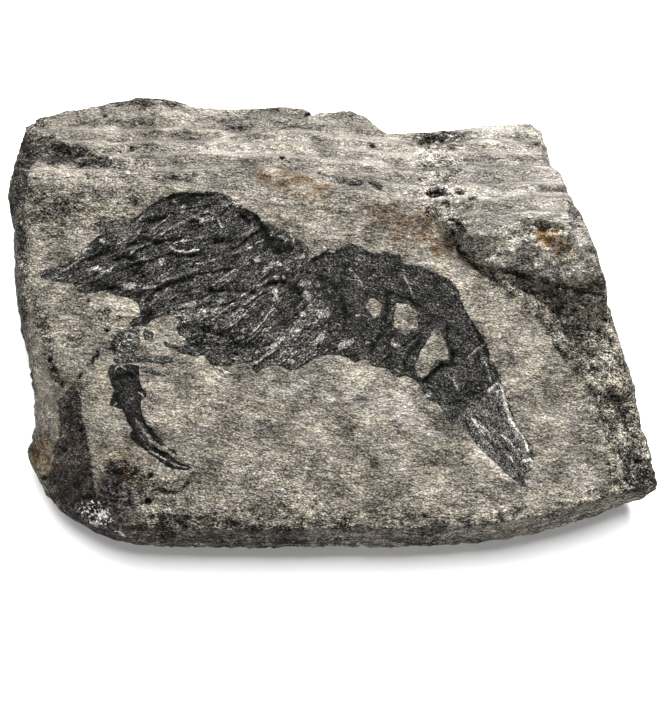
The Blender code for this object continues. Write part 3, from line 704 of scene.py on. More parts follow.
def lay_film(name, outlines, seed, relief, finish, marks, windows=(), cell=0.14):
    """Builds one film, paints its marks and seats it on the bed. The finish is the
    cuticle's lightness, its contrast and the turn of its grain; the cell is the mesh's."""
    scraps = [ragged(outline, seed + 0.7 * k) for k, outline in enumerate(outlines)]
    holes = [ragged(window, seed + 3 + k) for k, window in enumerate(windows)]
    field = film_field(scraps, holes)
    FILMS.append(field)
    edges = np.concatenate(scraps)
    low, high = edges.min(axis=0) - 0.3, edges.max(axis=0) + 0.3
    bm = film_mesh(field, low, high, relief, cell)
    piece = new_piece(name + "_film", bm, cuticle_material(name + "_cuticle", *finish))
    x, y = sheet_places(piece)[:2]
    for mark, values in marks(x, y).items():
        paint(piece, mark, values)
    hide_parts(name)


def seated(inside, relief, reach=0.6):
    """Height of a film above the bed: level with it at the edge and a little lower in the
    middle, with its own relief, which begins at the edge and is full at the reach."""
    return 0.06 - 0.22 * smooth(0, -0.9, inside) + relief * smooth(0, -reach, inside)


# ---- The carapace and its rostrum ----
# The head shield, one thin plate with the rostrum grown in one with it, crumpled into
# oblique folds as it was pressed flat, and torn at the throat.
CARAPACE_TOP = [
    (-44, 3.3), (-41.5, 4.3), (-40, 4.7), (-38.6, 5.9), (-36.8, 7.6), (-35.9, 8.5), (-34.8, 9.4),
    (-33.7, 9.9), (-32.8, 9.6), (-32.3, 8.7), (-31.6, 8.5), (-31.2, 9.1), (-30.9, 10.2),
    (-30.5, 11.3), (-29.5, 12.1), (-28.3, 13.3), (-27.1, 14.2), (-25.7, 15), (-24.2, 15.6),
    (-22.3, 15.9), (-20.6, 15.8), (-17.8, 15.9), (-16.4, 15.5), (-15.2, 14.7), (-14.1, 13.6),
    (-12.8, 13), (-11.4, 12.2), (-10.6, 11.1), (-9.3, 10.6), (-8.1, 10.2), (-6.9, 9.5),
    (-6.1, 8.9), (-5.1, 8.3), (-3.9, 7.4), (-3.7, 6.4),
]
SEAM = [(-3.6, 5.4), (-3.2, 3.4), (-2.1, 1.4), (-1.3, -1.2), (-0.9, -4), (-0.8, -6.6)]
CARAPACE_FOOT = [
    (-0.85, -9.05), (-2.2, -9.35), (-4.1, -10.4), (-5, -11.2), (-6.5, -11.7), (-7.6, -10.9),
    (-9.1, -10.75), (-10.05, -11.05), (-11.5, -12.05), (-12.85, -10.2), (-16.1, -11),
    (-18.2, -10.7), (-19.35, -9.25), (-20.8, -9.5), (-21.8, -9.1), (-22.9, -8.75), (-23.8, -8.25),
    (-25, -7.9), (-25.4, -7.2), (-24.8, -7.3), (-23.9, -7.75), (-22.9, -8), (-22.4, -7.8),
    (-22, -7.3), (-22, -6.7), (-23.05, -6.2), (-23.7, -4.9), (-23.3, -4.2), (-23.5, -3.6),
    (-24.3, -3.1), (-25.8, -3.3), (-26.5, -3.5), (-27.3, -4.1), (-28, -4.8), (-28.9, -4.75),
    (-29.7, -4.9), (-30.4, -5), (-30.55, -4.4), (-29.95, -3.75), (-29.2, -3.6), (-28.85, -3.2),
    (-29, -2.4), (-29.1, -1.65), (-29.5, -1.1), (-30.2, -0.7), (-31.2, -0.4), (-32.1, -0.3),
    (-33.15, 0.15), (-34.6, 0.5), (-37.2, 0), (-38.05, 0.25), (-38.9, 1.5), (-41.1, 1.9),
    (-43.8, 2.5),
]
# Crests of the folds, and the hollows between them.
SHIELD_CRESTS = [
    [(-32.5, 7.6), (-31.6, 8.3), (-30.5, 9.3)], [(-30, 10.7), (-28.6, 12)],
    [(-30.6, 6.1), (-29.6, 6.9), (-27.3, 8)],
    [(-26.3, 8.8), (-24.5, 10.1), (-22.6, 11.2), (-20.2, 12.3), (-18.4, 12.9)],
    [(-24.6, 7.4), (-24.3, 6.9), (-23.2, 6.5), (-22.2, 6.4), (-21, 6.5), (-20.2, 6.8)],
    [(-24.2, 7.8), (-22.8, 8.2), (-21.4, 8.4), (-19.8, 8.8)],
    [(-34.8, 3.1), (-33.6, 3.7), (-32.6, 4.6)], [(-28.8, 5.2), (-27.4, 5.3)],
    [(-25.5, 1.9), (-24.2, 2.4), (-22.8, 2.9), (-20.6, 3.2)],
    [(-18.2, 1.3), (-17, 2.2), (-15.8, 3.2), (-14.8, 3.9), (-13.4, 4.6), (-12, 5.2)],
    [(-15.2, 6.2), (-14, 6.5), (-12.6, 7.2), (-11.4, 8), (-10.6, 8.3)],
    [(-18, -3.9), (-16.6, -2.7), (-15.3, -1.6), (-14.4, -0.8), (-13, 0.3), (-12, 0.9)],
    [(-11.4, 1.2), (-10.2, 2), (-9, 2.6), (-8.2, 3)], [(-17.6, 11.6), (-16.8, 10.3)],
    [(-16.4, -4.6), (-14.6, -2.9), (-13.4, -1.6), (-11.9, -0.4)],
    [(-12.4, -6.2), (-10.8, -4.4), (-9.6, -2.8), (-8.4, -1.6)],
    [(-8.2, -7.6), (-6.6, -5.9), (-5.4, -4.4), (-4.6, -2.9)],
    [(-21.6, 4.6), (-19.2, 4.9), (-16.8, 5.6)], [(-27.6, 9.6), (-26.2, 10.8), (-24.6, 12.2)],
    [(-6.6, 9.4), (-6, 8.6), (-6.2, 7.6), (-5.4, 7.2)],
    [(-28.4, -1.5), (-27.8, -1.2), (-27.3, -1.8), (-26.9, -2.3)],
]
SHIELD_HOLLOWS = [
    [(-30.7, 11.2), (-29.5, 12.2), (-28.3, 13.4), (-27, 14.3), (-25.6, 15), (-24, 15.4),
     (-22.2, 15.6), (-20.4, 15.5), (-17.8, 15.8)],
    [(-31.2, 7.6), (-29.5, 8), (-28.3, 8.7), (-26.8, 7.9), (-25, 8.3), (-23.2, 8.8)],
    [(-36.8, 5.4), (-34.5, 6.2), (-33.2, 6.9)], [(-33.1, 5.4), (-31.5, 5.7), (-30.2, 5.6)],
    [(-25.2, 1.4), (-24, 1.8), (-22.5, 2.4), (-21, 2.7)], [(-29.2, -0.3), (-27.5, 0.6), (-26, 1)],
    [(-28.6, -1.6), (-28.2, -3.2), (-27.4, -3)], [(-35, 0.9), (-32.5, 1), (-31, 0.4)],
    [(-24.4, 6.1), (-22.8, 5.9), (-21, 5.9), (-19.9, 6.3)], [(-18.5, 0.6), (-16, 0.6)],
    [(-14.5, 0.5), (-13, 0.5), (-12, 0.2)], [(-17.8, 8.2), (-15, 8.2), (-13.2, 8.5)],
    [(-10.6, 11.6), (-10.9, 10.4), (-10, 8.9)],
    [(-9.8, 8.6), (-8.4, 8.4), (-6.9, 8.1), (-6.6, 7)], [(-9.6, 7.1), (-8.2, 6.4)],
    [(-13, 12.8), (-11.5, 12.1), (-10.9, 11.2)], [(-13.9, 12.1), (-12.9, 11.3)],
    [(-20.4, -4.6), (-18.6, -5.6), (-16.8, -6.2), (-15.2, -6.4)],
    [(-15, -7.6), (-13.2, -8.1), (-11.6, -8)], [(-30, 3.3), (-28.6, 3)],
    [(-7.6, 1.5), (-6.6, 1), (-5.5, 0.6), (-4.8, -0.4), (-4.5, -1.4), (-4.7, -2.3)],
    [(-10.4, 1.2), (-9.6, 1.7), (-8.1, 2.1), (-7.5, 2)], [(-27.8, 11.2), (-25.4, 11.8)],
]
# Where the film has flaked off: x, y, length, width, turn in degrees.
SHIELD_FLAKES = [
    (-22.7, 13.2, 1.6, 0.7, 60), (-34.7, 8.3, 1, 0.8, 40), (-33.9, 7.9, 0.6, 0.5, 0),
    (-30.7, 1.3, 2.6, 1.2, 12), (-27.4, 1.2, 2.2, 0.5, 8), (-8.8, 0.4, 0.8, 1.4, 0),
    (-8.9, -0.8, 1.3, 0.7, 50), (-13.1, -3.3, 1, 0.6, 10), (-21.2, -1.8, 1.7, 1.2, 20),
    (-19.6, -2.6, 1.1, 0.9, 0), (-19, -3.3, 0.8, 0.5, 0), (-20.4, -3.3, 0.8, 0.5, 0),
    (-8.6, 2.6, 0.9, 0.6, 20), (-7.5, 2.7, 0.5, 0.5, 0), (-4.3, 1.6, 1.7, 0.8, 20),
    (-4, -0.2, 2, 1.2, -40), (-1.7, -2.9, 1.8, 1.3, 10), (-4.6, -3, 0.9, 1.3, 20),
    (-2.1, -6.6, 2.9, 0.9, 50), (-5.3, -5.9, 1.3, 0.6, 50), (-17.6, -5, 0.8, 0.4, 0),
    (-10.1, -8.3, 0.9, 0.6, 30), (-13.9, -6.6, 1.2, 0.6, 20), (-6.4, -10.2, 1, 0.8, 20),
    (-25.9, 5.2, 0.8, 1.4, 0), (-36.2, 3.9, 2.2, 0.6, 10), (-11.5, 5.3, 0.9, 0.8, 0),
    (-28.9, -4.1, 0.4, 0.9, -20), (-8.1, 4.7, 1, 0.5, -30), (-7, 3.9, 0.9, 0.5, -20),
    (-14.8, 13.8, 1.2, 0.6, -50), (-7.6, 8.8, 2.2, 0.5, -20), (-10.7, -2.8, 0.5, 0.8, 0),
    (-23.9, 7, 1.2, 0.35, -40), (-22.6, 6.6, 1.7, 0.4, -6), (-21, 6.7, 1.5, 0.35, 12),
]


def torn_laps(along, across, width, seed):
    """Sheets that lap over one another: each falls off sharply at its lower edge."""
    lap = across / width + 0.9 * ripple(along * 0.22, across, 2.6, seed)
    lap = lap - np.floor(lap)
    strength = smooth(-0.35, 0.35, ripple(along * 0.4, across, 2.4, seed + 1))
    return lap, strength


def shield_grain(x, y):
    """Directions along and across the folds, which fan out towards the tail."""
    turn = np.radians(30 + 16 * smooth(-26, -6, x))
    return x * np.cos(turn) + y * np.sin(turn), -x * np.sin(turn) + y * np.cos(turn)


# Painted shadow along the upper rim and under the two torn flaps, and patches where the film
# is thickest and blackest; then where the rock shows through it in specks: each a strength
# and an outline.
SHIELD_SHADES = [
    (0.75, [(-26.6, 15.4), (-20, 16.2), (-18.6, 15.6), (-21, 14.4), (-24.6, 13.6)]),
    (0.65, [(-23.6, -3.4), (-20, -4), (-15, -5.6), (-9, -6.4), (-8, -8.2), (-14, -9.4),
            (-20, -8.6), (-22, -6.6)]),
    (0.95, [(-10.8, 9), (-9.3, 8.4), (-8.1, 8.1), (-7, 8), (-6.4, 6.9), (-7.2, 6.6), (-8.4, 6.8),
            (-9.3, 6.4), (-10.2, 7.4)]),
    (0.75, [(-14.2, 13.4), (-12.6, 12.9), (-11.2, 12.1), (-10.7, 11.1), (-10.6, 10.2),
            (-11.7, 10.7), (-12.6, 11.7)]),
    (0.9, [(-10.8, 10.6), (-9.3, 10.4), (-9.6, 9.7), (-10.7, 9.5)]),
    (0.6, [(-37.4, 7.4), (-34.8, 6.6), (-33, 7.2), (-33.4, 8.6), (-36, 9.2)]),
    (0.6, [(-38, 1.6), (-34, 2), (-30.6, 1), (-30, -0.6), (-34, 0.4)]),
    (0.5, [(-31, 4.4), (-28.6, 4.6), (-28, 2.4), (-30.4, 2.2)]),
    (0.6, [(-28.8, -1.6), (-27.4, -2.2), (-26.6, -3.6), (-28.4, -4.6), (-29, -3.4)]),
    (0.5, [(-7, 2.2), (-4.6, 1.4), (-4.4, -3.4), (-6.2, -3)]),
]
SHIELD_WORN = [
    (0.38, [(-26, -1), (-18, -1.6), (-10, -4.6), (-2, -5.2), (-1, -9), (-8, -11.2), (-18, -10.8),
            (-24, -6)]),
    (0.4, [(-37.4, 5), (-33.4, 5), (-32.4, 3), (-36.6, 3.2)]),
    (0.34, [(-5.4, 3), (-2, 2), (-0.8, -5), (-4.8, -4.4)]),
]


def shield_patches(patches, x, y):
    """How strongly the dark or worn patches show at a place; their edges are soft."""
    return covered(patches, x, y, 0.5 * ripple(x, y, 1.4, 27), 0.5)


def shield_relief(x, y, inside):
    """Torn laps and creases, then the folds and the hollows one by one."""
    along, across = shield_grain(x, y)
    lap, strength = torn_laps(along, across, 1.9, 22)
    folds = 0.42 * strength * (0.5 - lap) + 0.26 * fine_folds(along, across)
    crest, hollow = lines_sum(SHIELD_CRESTS, x, y, 0.40), lines_sum(SHIELD_HOLLOWS, x, y, 0.8)
    crest = crest * (0.7 + 0.6 * ripple(x, y, 1.1, 31))
    return seated(inside, folds + 0.30 * crest - 0.45 * hollow)


def fine_folds(along, across):
    """Sharp little creases, drawn out along the folds."""
    return 1 - 2.2 * abs(ripple(along * 0.18, across, 1.3, 24))


def shield_marks(x, y):
    """Painted highlights along the crests, lap lips and creases, where the film is also rubbed;
    painted shade in its hollows, at the roots of the laps and under its rim, with its blackest
    patches; and where it is bare.
    """
    along, across = shield_grain(x, y)
    lap, strength = torn_laps(along, across, 1.9, 22)
    # Painted highlight on each lap's upper lip, and painted shade at its root under the next lap.
    lip_highlight, root = strength * smooth(0.13, 0.03, lap), strength * smooth(0.78, 0.97, lap)
    # Painted highlight along the crests of the fine creases.
    crease = 0.55 * smooth(0.80, 0.98, fine_folds(along, across))
    crease = crease * smooth(-0.1, 0.5, ripple(x, y, 2.5, 26))
    worn = 0.68 + 0.6 * ripple(x, y, 1.0, 30)
    return {
        "crest": np.max([worn * lines_sum(SHIELD_CRESTS, x, y, 0.24), 0.45 * lip_highlight, crease], axis=0),
        "deep": np.max([0.95 * lines_sum(SHIELD_HOLLOWS, x, y, 0.60), 0.8 * root,
                        shield_patches(SHIELD_SHADES, x, y)], axis=0),
        "bare": np.maximum(spots_sum(SHIELD_FLAKES, x, y), shield_patches(SHIELD_WORN, x, y)),
    }


lay_film("carapace", [CARAPACE_TOP + SEAM + CARAPACE_FOOT], seed=3,
         relief=shield_relief, finish=(0.155, 1.15, 0.42), marks=shield_marks)

# ---- The abdomen ----
# The jointed plates of the abdomen, pressed into one arched sheet. Each plate laps over
# the next, and three windows in it show the bed.
ABDOMEN_TOP = [
    (-3.6, 5.4), (-2.9, 5.8), (-1.05, 6.9), (0.6, 6.9), (2.5, 7.9), (3.85, 7.4), (5.8, 6.3),
    (8.1, 6.3), (10, 6.05), (10.3, 4.6), (12.9, 4.3), (15.2, 3.4), (17.5, 2.05), (18.45, 1.05),
    (19.4, -2.1), (20.1, -3.25), (22.2, -6.5), (23.1, -9), (23.1, -10.5), (23.9, -11),
    (24.6, -12.6),
]
TAIL_SEAM = [(24.6, -12.6), (23.4, -13.9), (22, -15.2), (20.4, -16.6), (18.5, -18.3)]
ABDOMEN_FOOT = [
    (17.7, -19.6), (17.1, -19.4), (16.4, -17.9), (15.3, -16.35), (14.2, -16.2), (12.85, -14.45),
    (12.5, -13.3), (10.7, -12.35), (9.4, -12.6), (7.9, -11.2), (5.8, -10.85), (4.85, -9.85),
    (3.05, -10.35), (1.6, -9.4), (-0.85, -9.05),
]
WINDOWS = [
    [(5.2, -0.6), (6, -0.3), (7.2, -1.4), (6.9, -3), (6, -3.8), (5.4, -2.6), (4.7, -1.9)],
    [(9.3, -1.4), (11, -1.4), (12.4, -2.4), (12.6, -5.1), (10.5, -6.1), (9, -4.9), (9, -3.1)],
    [(15.05, -5.1), (15.9, -5.4), (16.85, -7.75), (17.2, -10), (15.2, -10.05), (14.4, -11.55),
     (13.2, -12.7), (12.2, -12), (12.1, -10.7), (13.2, -8.1)],
]
PLATE_CRESTS = [
    [(22.2, -10), (22.6, -10.9), (23, -12.1), (23.1, -13.1)],
    [(17.7, -12.8), (18, -13.6), (18.4, -14.7)], [(20, -9.6), (21, -8.6), (22.1, -7.8)],
    [(2.4, 3.8), (3.6, 2.6), (4.3, 1.2)], [(10.6, 2.6), (11.4, 1), (12, -0.6)],
]
PLATE_HOLLOWS = [
    [(-2.4, 2.7), (-1.2, 2.4), (-0.1, 1.4), (0.9, 0.2), (1.5, -1.2), (1.7, -2.8), (1.6, -5.2)],
    [(7.9, 0.4), (8, -1.8), (7.6, -4), (6.8, -6.2), (5.6, -8.4)],
    [(7.9, 0.2), (9.1, 0.2), (10.9, -0.6), (12.6, -1.6)],
    [(12.6, -7.2), (11.2, -8.8), (10.4, -10.6)],
    [(16.9, -5), (16.9, -6.8), (17.7, -9), (17.6, -10.6)],
    [(13.6, -13), (14.6, -12), (15.8, -10.8)], [(15.9, -10.6), (16.8, -10.8), (18, -10.6)],
    [(-3.2, 5.2), (-1.6, 6)], [(19.9, -15.3), (21.6, -14.9), (23, -14.6)],
    [(20.8, -4.6), (22.2, -7.4), (22.9, -8.8)],
]
PLATE_FLAKES = [
    (-1.2, -2.8, 1.4, 1.6, 0), (1.7, -7.6, 2.8, 1.1, 35), (9.3, -7.7, 1.8, 0.7, -20),
    (-0.2, 6.6, 1.2, 0.5, -10), (3.6, -3.2, 0.8, 0.4, 0), (4.9, -7.2, 0.6, 0.4, 0),
    (22.2, -7.6, 0.7, 0.4, 0), (14, -15.2, 1, 0.6, 0),
]


def plate_relief(x, y, inside):
    """Plates in a fan, each lapping over the next, then the folds one by one."""
    turn = np.degrees(np.arctan2(y + 22.0, x + 2.0))
    lap = (turn - 4 * ripple(x, y, 9, 24)) / 17.0
    lap = 0.30 * (0.5 - (lap - np.floor(lap)))
    crest, hollow = lines_sum(PLATE_CRESTS, x, y, 0.5), lines_sum(PLATE_HOLLOWS, x, y, 0.7)
    fine = 0.07 * ripple(x, y, 1.1, 25)
    return seated(inside, lap + fine + 0.2 * crest - 0.32 * hollow)


def plate_marks(x, y):
    # Painted highlights along the plate crests, painted shade in the hollows and a painted shadow
    # along the top edge by the tail; the flakes are where the film is gone.
    return {
        "crest": 0.6 * lines_sum(PLATE_CRESTS, x, y, 0.35),
        "deep": np.maximum(0.9 * lines_sum(PLATE_HOLLOWS, x, y, 0.55),
                           lines_sum([ABDOMEN_TOP[13:]], x, y, 0.28)),
        "bare": spots_sum(PLATE_FLAKES, x, y),
    }


SEAM_LAP = [(x - 0.25, y) for x, y in SEAM[:0:-1]]      # the plates lap over at their seams
lay_film("abdomen", [ABDOMEN_TOP + TAIL_SEAM[1:] + ABDOMEN_FOOT + SEAM_LAP], seed=5,
         relief=plate_relief, finish=(0.145, 1.0, -0.40), marks=plate_marks, windows=WINDOWS)

# ---- The tail fan ----
# The telson and the folded blades of the fan, behind a cross ridge and ribbed along their
# length. The cross ridge and the outer edge get painted highlights, where the film is also
# rubbed to the rock.
TAIL_OUTER = [
    (24.6, -12.8), (25.3, -14.6), (25.9, -16.6), (26.5, -18.4), (27.4, -20.3), (28.4, -22.3),
    (29.3, -24.3), (29.5, -25.2), (28.9, -26.4), (28, -27.4), (28.1, -29.1),
]
TAIL_INNER = [
    (27.5, -28.8), (26.5, -27.9), (25.3, -27), (24.4, -26.1), (23.6, -25.2), (22.5, -24.2),
    (21.5, -23.3), (20.8, -22.4), (20.1, -21.2), (19.5, -20), (19.1, -19.2), (18.4, -18.6),
]
FAN_RIBS = [
    [(23, -14.7), (23.6, -14.1), (24.2, -13.7), (24.8, -14), (25, -15.2)],
    [(25.1, -15.4), (25.3, -16.7), (25.7, -17.9), (26, -19.1), (26.7, -20.1), (27.3, -21),
     (27.9, -21.8), (28.3, -22.6), (28.6, -23.6)],
    [(28, -25.2), (28.7, -25), (29.2, -25.1), (29.1, -26)],
    [(20.8, -19.4), (21.3, -20.3), (21.5, -20.9)], [(22.1, -20.3), (22.7, -21.3), (23.3, -22.2)],
    [(25.2, -21.6), (26.1, -22.6), (26.8, -23.5)], [(20.3, -18.6), (21.6, -19.7), (22.9, -21.2)],
]
FAN_FLAKES = [
    (20.9, -19.5, 1.7, 0.4, -50), (22, -20.9, 1.8, 0.4, -58), (26.4, -19.7, 1.2, 0.7, -60),
    (27, -21.3, 1.4, 0.7, -50), (25, -21.6, 1.4, 0.3, -55), (26.2, -24.9, 1.2, 0.3, -60),
]
FAN_GROOVES = [
    [(22.7, -21.6), (23.2, -22.2), (23.8, -23.1)], [(20.4, -18.6), (21.8, -19.2)],
    [(24.6, -22), (25.8, -23.6), (26.8, -25.2)], [(24.2, -16.6), (24.8, -18.6)],
    [(27.2, -27), (27.6, -28), (27.9, -28.8)], [(19.4, -19.4), (20.2, -20.9), (21.2, -22.4)],
]


def fan_relief(x, y, inside):
    """Even ribs along the fan, then the strongest one by one, and the grooves."""
    across = 0.87 * (x - 19.0) + 0.50 * (y + 19.0) + 0.3 * ripple(x, y, 4, 27)
    ribs = 0.10 * np.cos(across * 2.3)
    crest, hollow = lines_sum(FAN_RIBS, x, y, 0.5), lines_sum(FAN_GROOVES, x, y, 0.55)
    return seated(inside, ribs + 0.26 * crest - 0.3 * hollow, 0.5)


def fan_marks(x, y):
    # Painted highlights along the ribs, painted shade in the grooves and a painted shadow along
    # the outer edge.
    worn = 1.0 + 0.6 * ripple(x, y, 0.9, 30)
    return {
        "crest": worn * np.maximum(0.8 * lines_sum(FAN_RIBS[:3], x, y, 0.48),
                                   0.6 * lines_sum(FAN_RIBS[3:], x, y, 0.36)),
        "deep": np.maximum(0.8 * lines_sum(FAN_GROOVES, x, y, 0.40),
                           lines_sum([TAIL_OUTER[:8]], x, y, 0.26)),
        "bare": 0.8 * spots_sum(FAN_FLAKES, x, y),
    }


TAIL_LAP = [(x - 0.15, y + 0.25) for x, y in TAIL_SEAM[-2:0:-1]]
lay_film("tail_fan", [TAIL_OUTER + TAIL_INNER + TAIL_LAP], seed=7,
         relief=fan_relief, finish=(0.265, 1.1, -0.87), marks=fan_marks)

# ---- The claw and the leg remains ----
# The pincer lies apart from the body: a broad hand and two slender curved fingers, with a
# pale groove down the lower one. The legs are only torn scraps between mouth and claw.
CLAW = [
    (-33.4, -11.6), (-33.1, -10.8), (-31.6, -10.9), (-30.4, -10.6), (-28.8, -10.9),
    (-28.9, -12.1), (-28.9, -13.1), (-28.45, -14), (-28, -14.8), (-27.7, -15.5), (-28.3, -15.7),
    (-28.5, -16.3), (-28.55, -17.1), (-28.4, -18.1), (-28, -18.95), (-27.5, -19.6),
    (-26.8, -20.5), (-26.1, -21.4), (-25.3, -22.1), (-24.9, -22.9), (-25.9, -22.55),
    (-26.6, -21.9), (-27.4, -21), (-28, -20.4), (-28.5, -19.6), (-28.9, -19.2), (-29.4, -18.4),
    (-29.25, -19.1), (-28.9, -19.8), (-28.5, -20.4), (-27.8, -21.4), (-27.4, -22.2),
    (-26.7, -22.8), (-25.1, -23.6), (-24.3, -24.2), (-23.5, -24.9), (-22.5, -25.3),
    (-21.7, -25.8), (-20.9, -26.1), (-21.5, -26.6), (-23.3, -26.4), (-24.6, -25.9),
    (-25.7, -25.1), (-26.8, -24.2), (-28, -23.3), (-29, -22.7), (-29.8, -22), (-30.3, -21),
    (-29.6, -20.6), (-30, -20), (-30.6, -19), (-30.9, -18.3), (-31.2, -17.5), (-32.3, -17.1),
    (-33.15, -16.8), (-32.9, -15.6), (-32.6, -14.6), (-32.9, -13.6), (-33.3, -12.7),
]
CLAW_SLIVER = [
    (-24.5, -23.2), (-23.6, -23.5), (-23, -24.1), (-22.9, -24.6), (-23.3, -24.3), (-23.8, -23.9),
    (-24.5, -23.6),
]
CLAW_CRESTS = [
    [(-27.1, -23.7), (-26.3, -24.1), (-25.6, -24.5), (-24.6, -25.1), (-23.5, -25.6),
     (-22.5, -26.05), (-21.7, -26.2)],
    [(-32.5, -11.7), (-32.2, -11.1), (-31.6, -10.9), (-30.8, -11.5)],
    [(-28.9, -14.9), (-28.4, -15.2), (-28, -15.7)],
]
# The pale gap between the two fingers.
FINGER_GAP = [
    (-29.3, -18.8), (-28.9, -19.5), (-28.5, -20.1), (-28, -20.7), (-27.6, -21.4), (-27.1, -22),
    (-26.5, -22.6), (-25.9, -23.1), (-25.2, -23.6),
]
CLAW_HOLLOWS = [
    [(-32.6, -12.9), (-31, -12.2), (-29.4, -12.4)], [(-32.3, -15.4), (-31.6, -16.6)],
    [(-30.6, -18.2), (-30, -19.8), (-29.4, -21.4), (-28.4, -22.6), (-27.4, -23.6)],
    [(-28.4, -18.6), (-27.4, -20.2), (-26.2, -21.7)], [(-26.6, -23.3), (-24.9, -24.2)],
]
LEGS = [
    [(-28.2, -5.2), (-27.1, -5.6), (-26.6, -6.1), (-27.2, -6.9), (-28.1, -7), (-28.4, -6.1)],
    [(-32.9, -9.9), (-31.4, -9.2), (-29.4, -9.1), (-26.5, -9.3), (-25, -9.4), (-23.9, -9.6),
     (-23.8, -10.2), (-25.2, -10.6), (-26.3, -10.5), (-28, -10.3), (-30, -10.4), (-32.4, -10.6)],
    [(-28.9, -11), (-27.3, -11.2), (-26.3, -11.7), (-25.4, -12.1), (-24.2, -12), (-25.4, -12.5),
     (-26.4, -12.2), (-27.6, -12), (-28.6, -11.5)],
    [(-30.9, -5.2), (-29.9, -5), (-29, -5.6), (-28.9, -6.6), (-29.4, -7.6), (-30, -8.6),
     (-31.2, -8.9), (-32.3, -8.4), (-31.9, -7.2), (-31, -6.7), (-31.2, -5.9)],
]


def limb_relief(x, y, inside):
    """A claw or leg stands a little prouder of the bed than the plates do."""
    crest, hollow = lines_sum(CLAW_CRESTS, x, y, 0.4), lines_sum(CLAW_HOLLOWS, x, y, 0.5)
    fine = 0.10 * ripple(x, y, 1.3, 28)
    return seated(inside, 0.12 + fine + 0.1 * crest - 0.2 * hollow, 0.4)


def claw_marks(x, y):
    # Painted highlights along the fingers, the pale gap where the bed shows between them, and
    # painted shade in the hollows.
    palm = smooth(2.2, 0.6, np.hypot((x + 30.3) * 1.2, (y + 15.4) * 0.8))
    return {
        "crest": np.maximum(lines_sum(CLAW_CRESTS, x, y, 0.20),
                            lines_sum([FINGER_GAP], x, y, 0.24)),
        "deep": 0.7 * lines_sum(CLAW_HOLLOWS, x, y, 0.5) * (1 - palm),
        "bare": 0.30 * palm + 0.55 * spots_sum([(-32.2, -16.6, 0.8, 0.5, 30)], x, y),
    }


def leg_marks(x, y):
    """The scraps are little more than a dark mottling of the bed."""
    mottled = 0.40 + 0.14 * ripple(x, y, 1.0, 29) - 0.25 * smooth(-8.7, -9.5, y)
    return {"crest": np.zeros_like(x), "deep": np.zeros_like(x), "bare": mottled}


lay_film("claw", [CLAW, CLAW_SLIVER], seed=9,
         relief=limb_relief, finish=(0.085, 0.8, -0.80), marks=claw_marks, cell=0.09)
lay_film("legs", LEGS, seed=11,
         relief=limb_relief, finish=(0.19, 1.1, -0.30), marks=leg_marks)

# ==== The block itself, with its stains and painted shade ====
# The stone is dusted with pale weathering on the bevel and the shelf, stained dark on its
# broken flanks, rusty along seams, and crusted at the front left corner.
# Each stain is a list of patches, each a strength and an outline: rust and ochre from iron,
# the crust at the front left corner with its white chips, pale weathering with painted
# highlights and painted light on some lips and faces, the dark joint face beside the crust,
# and the dark stains with painted shadows under ledges and crests and painted shade in holes.
RUST = [
    (0.85, [(-12, 20.4), (-7.5, 20.9), (-4.4, 18.9), (-1.3, 18), (1.1, 16.6), (0.5, 14.9),
            (-2.4, 15.1), (-5.1, 14.5), (-7.4, 16.1), (-9.6, 16.7), (-11.5, 17.1)]),
    (0.75, [(4.8, 13.4), (10, 13.7), (14.7, 12.1), (15.9, 10.3), (14.1, 8.4), (11.4, 7.5),
            (8.7, 8.7), (5.7, 10.6)]),
    (0.8, [(14, 9.6), (16.5, 9.2), (19.2, 6.2), (20.4, 4.8), (17.7, 4.7), (15, 6.2)]),
    (1, [(29.6, 9.4), (31.4, 9.4), (33.6, 8.2), (34.6, 6.6), (32.8, 6), (31, 7.4)]),
    (1, [(-32.6, -26.2), (-30.7, -25.8), (-28.8, -26.5), (-28.5, -29.2), (-29.6, -29.8),
         (-31.1, -28.9), (-32.9, -28.3)]),
    (1, [(-29.9, -32.6), (-28.7, -32.8), (-28.7, -35.1), (-29.9, -35.6)]),
    (0.8, [(-38.5, -13.7), (-37.3, -18.2), (-35.5, -26.2), (-35.1, -30.5), (-40.1, -30),
           (-43, -26.4), (-41.5, -22.1), (-40.8, -17.7)]),
    (0.7, [(-45.8, -19.2), (-43.3, -19.6), (-41.6, -22.1), (-42.2, -24.1), (-41.2, -26),
           (-45, -25.4), (-46.6, -23.1)]),
    (0.7, [(-30.6, -34.6), (-22, -35.6), (-14, -36.6), (-14, -38), (-30, -38)]),
    (0.5, [(-36, -23), (-31, -22.6), (-29, -25.4), (-35.4, -25.6)]),
]
OCHRE = [
    (1, [(-35.2, -26.2), (-33.7, -27.1), (-32.2, -26.8), (-32.5, -28.3), (-33.8, -29.1),
         (-35.1, -29)]),
    (0.9, [(-45.7, -20.1), (-43.8, -20.1), (-43.3, -22.5), (-42.1, -23.9), (-42.2, -26.3),
           (-44.2, -26.5), (-45.5, -24.4), (-46, -22.9)]),
    (0.4, [(1, -15.4), (2, -16.4), (1, -17.6), (0.2, -16.4)]),
    (0.35, [(-16.5, 28.5), (-13.6, 28.4), (-13.7, 27.2), (-16.2, 27.2)]),
    (0.8, [(27.1, 0), (28.2, -0.9), (29.2, -1.3), (28.4, -2.1), (27.2, -1)]),
    (0.8, [(29.3, 9), (32, 9.7), (35.5, 7.1), (35.9, 5.1), (33.8, 4.8), (31.5, 6.2)]),
]
CRUST = [
    (1, [(-34.4, -27.6), (-32.6, -27.6), (-30.7, -27.9), (-29.2, -29.5), (-29.1, -32.5),
         (-29.9, -34.2), (-31.8, -35.4), (-34.2, -36.4), (-37, -35.4), (-39.5, -33.2),
         (-41.6, -31.6), (-41, -29.8), (-38, -30.2), (-35.2, -30.5)]),
]
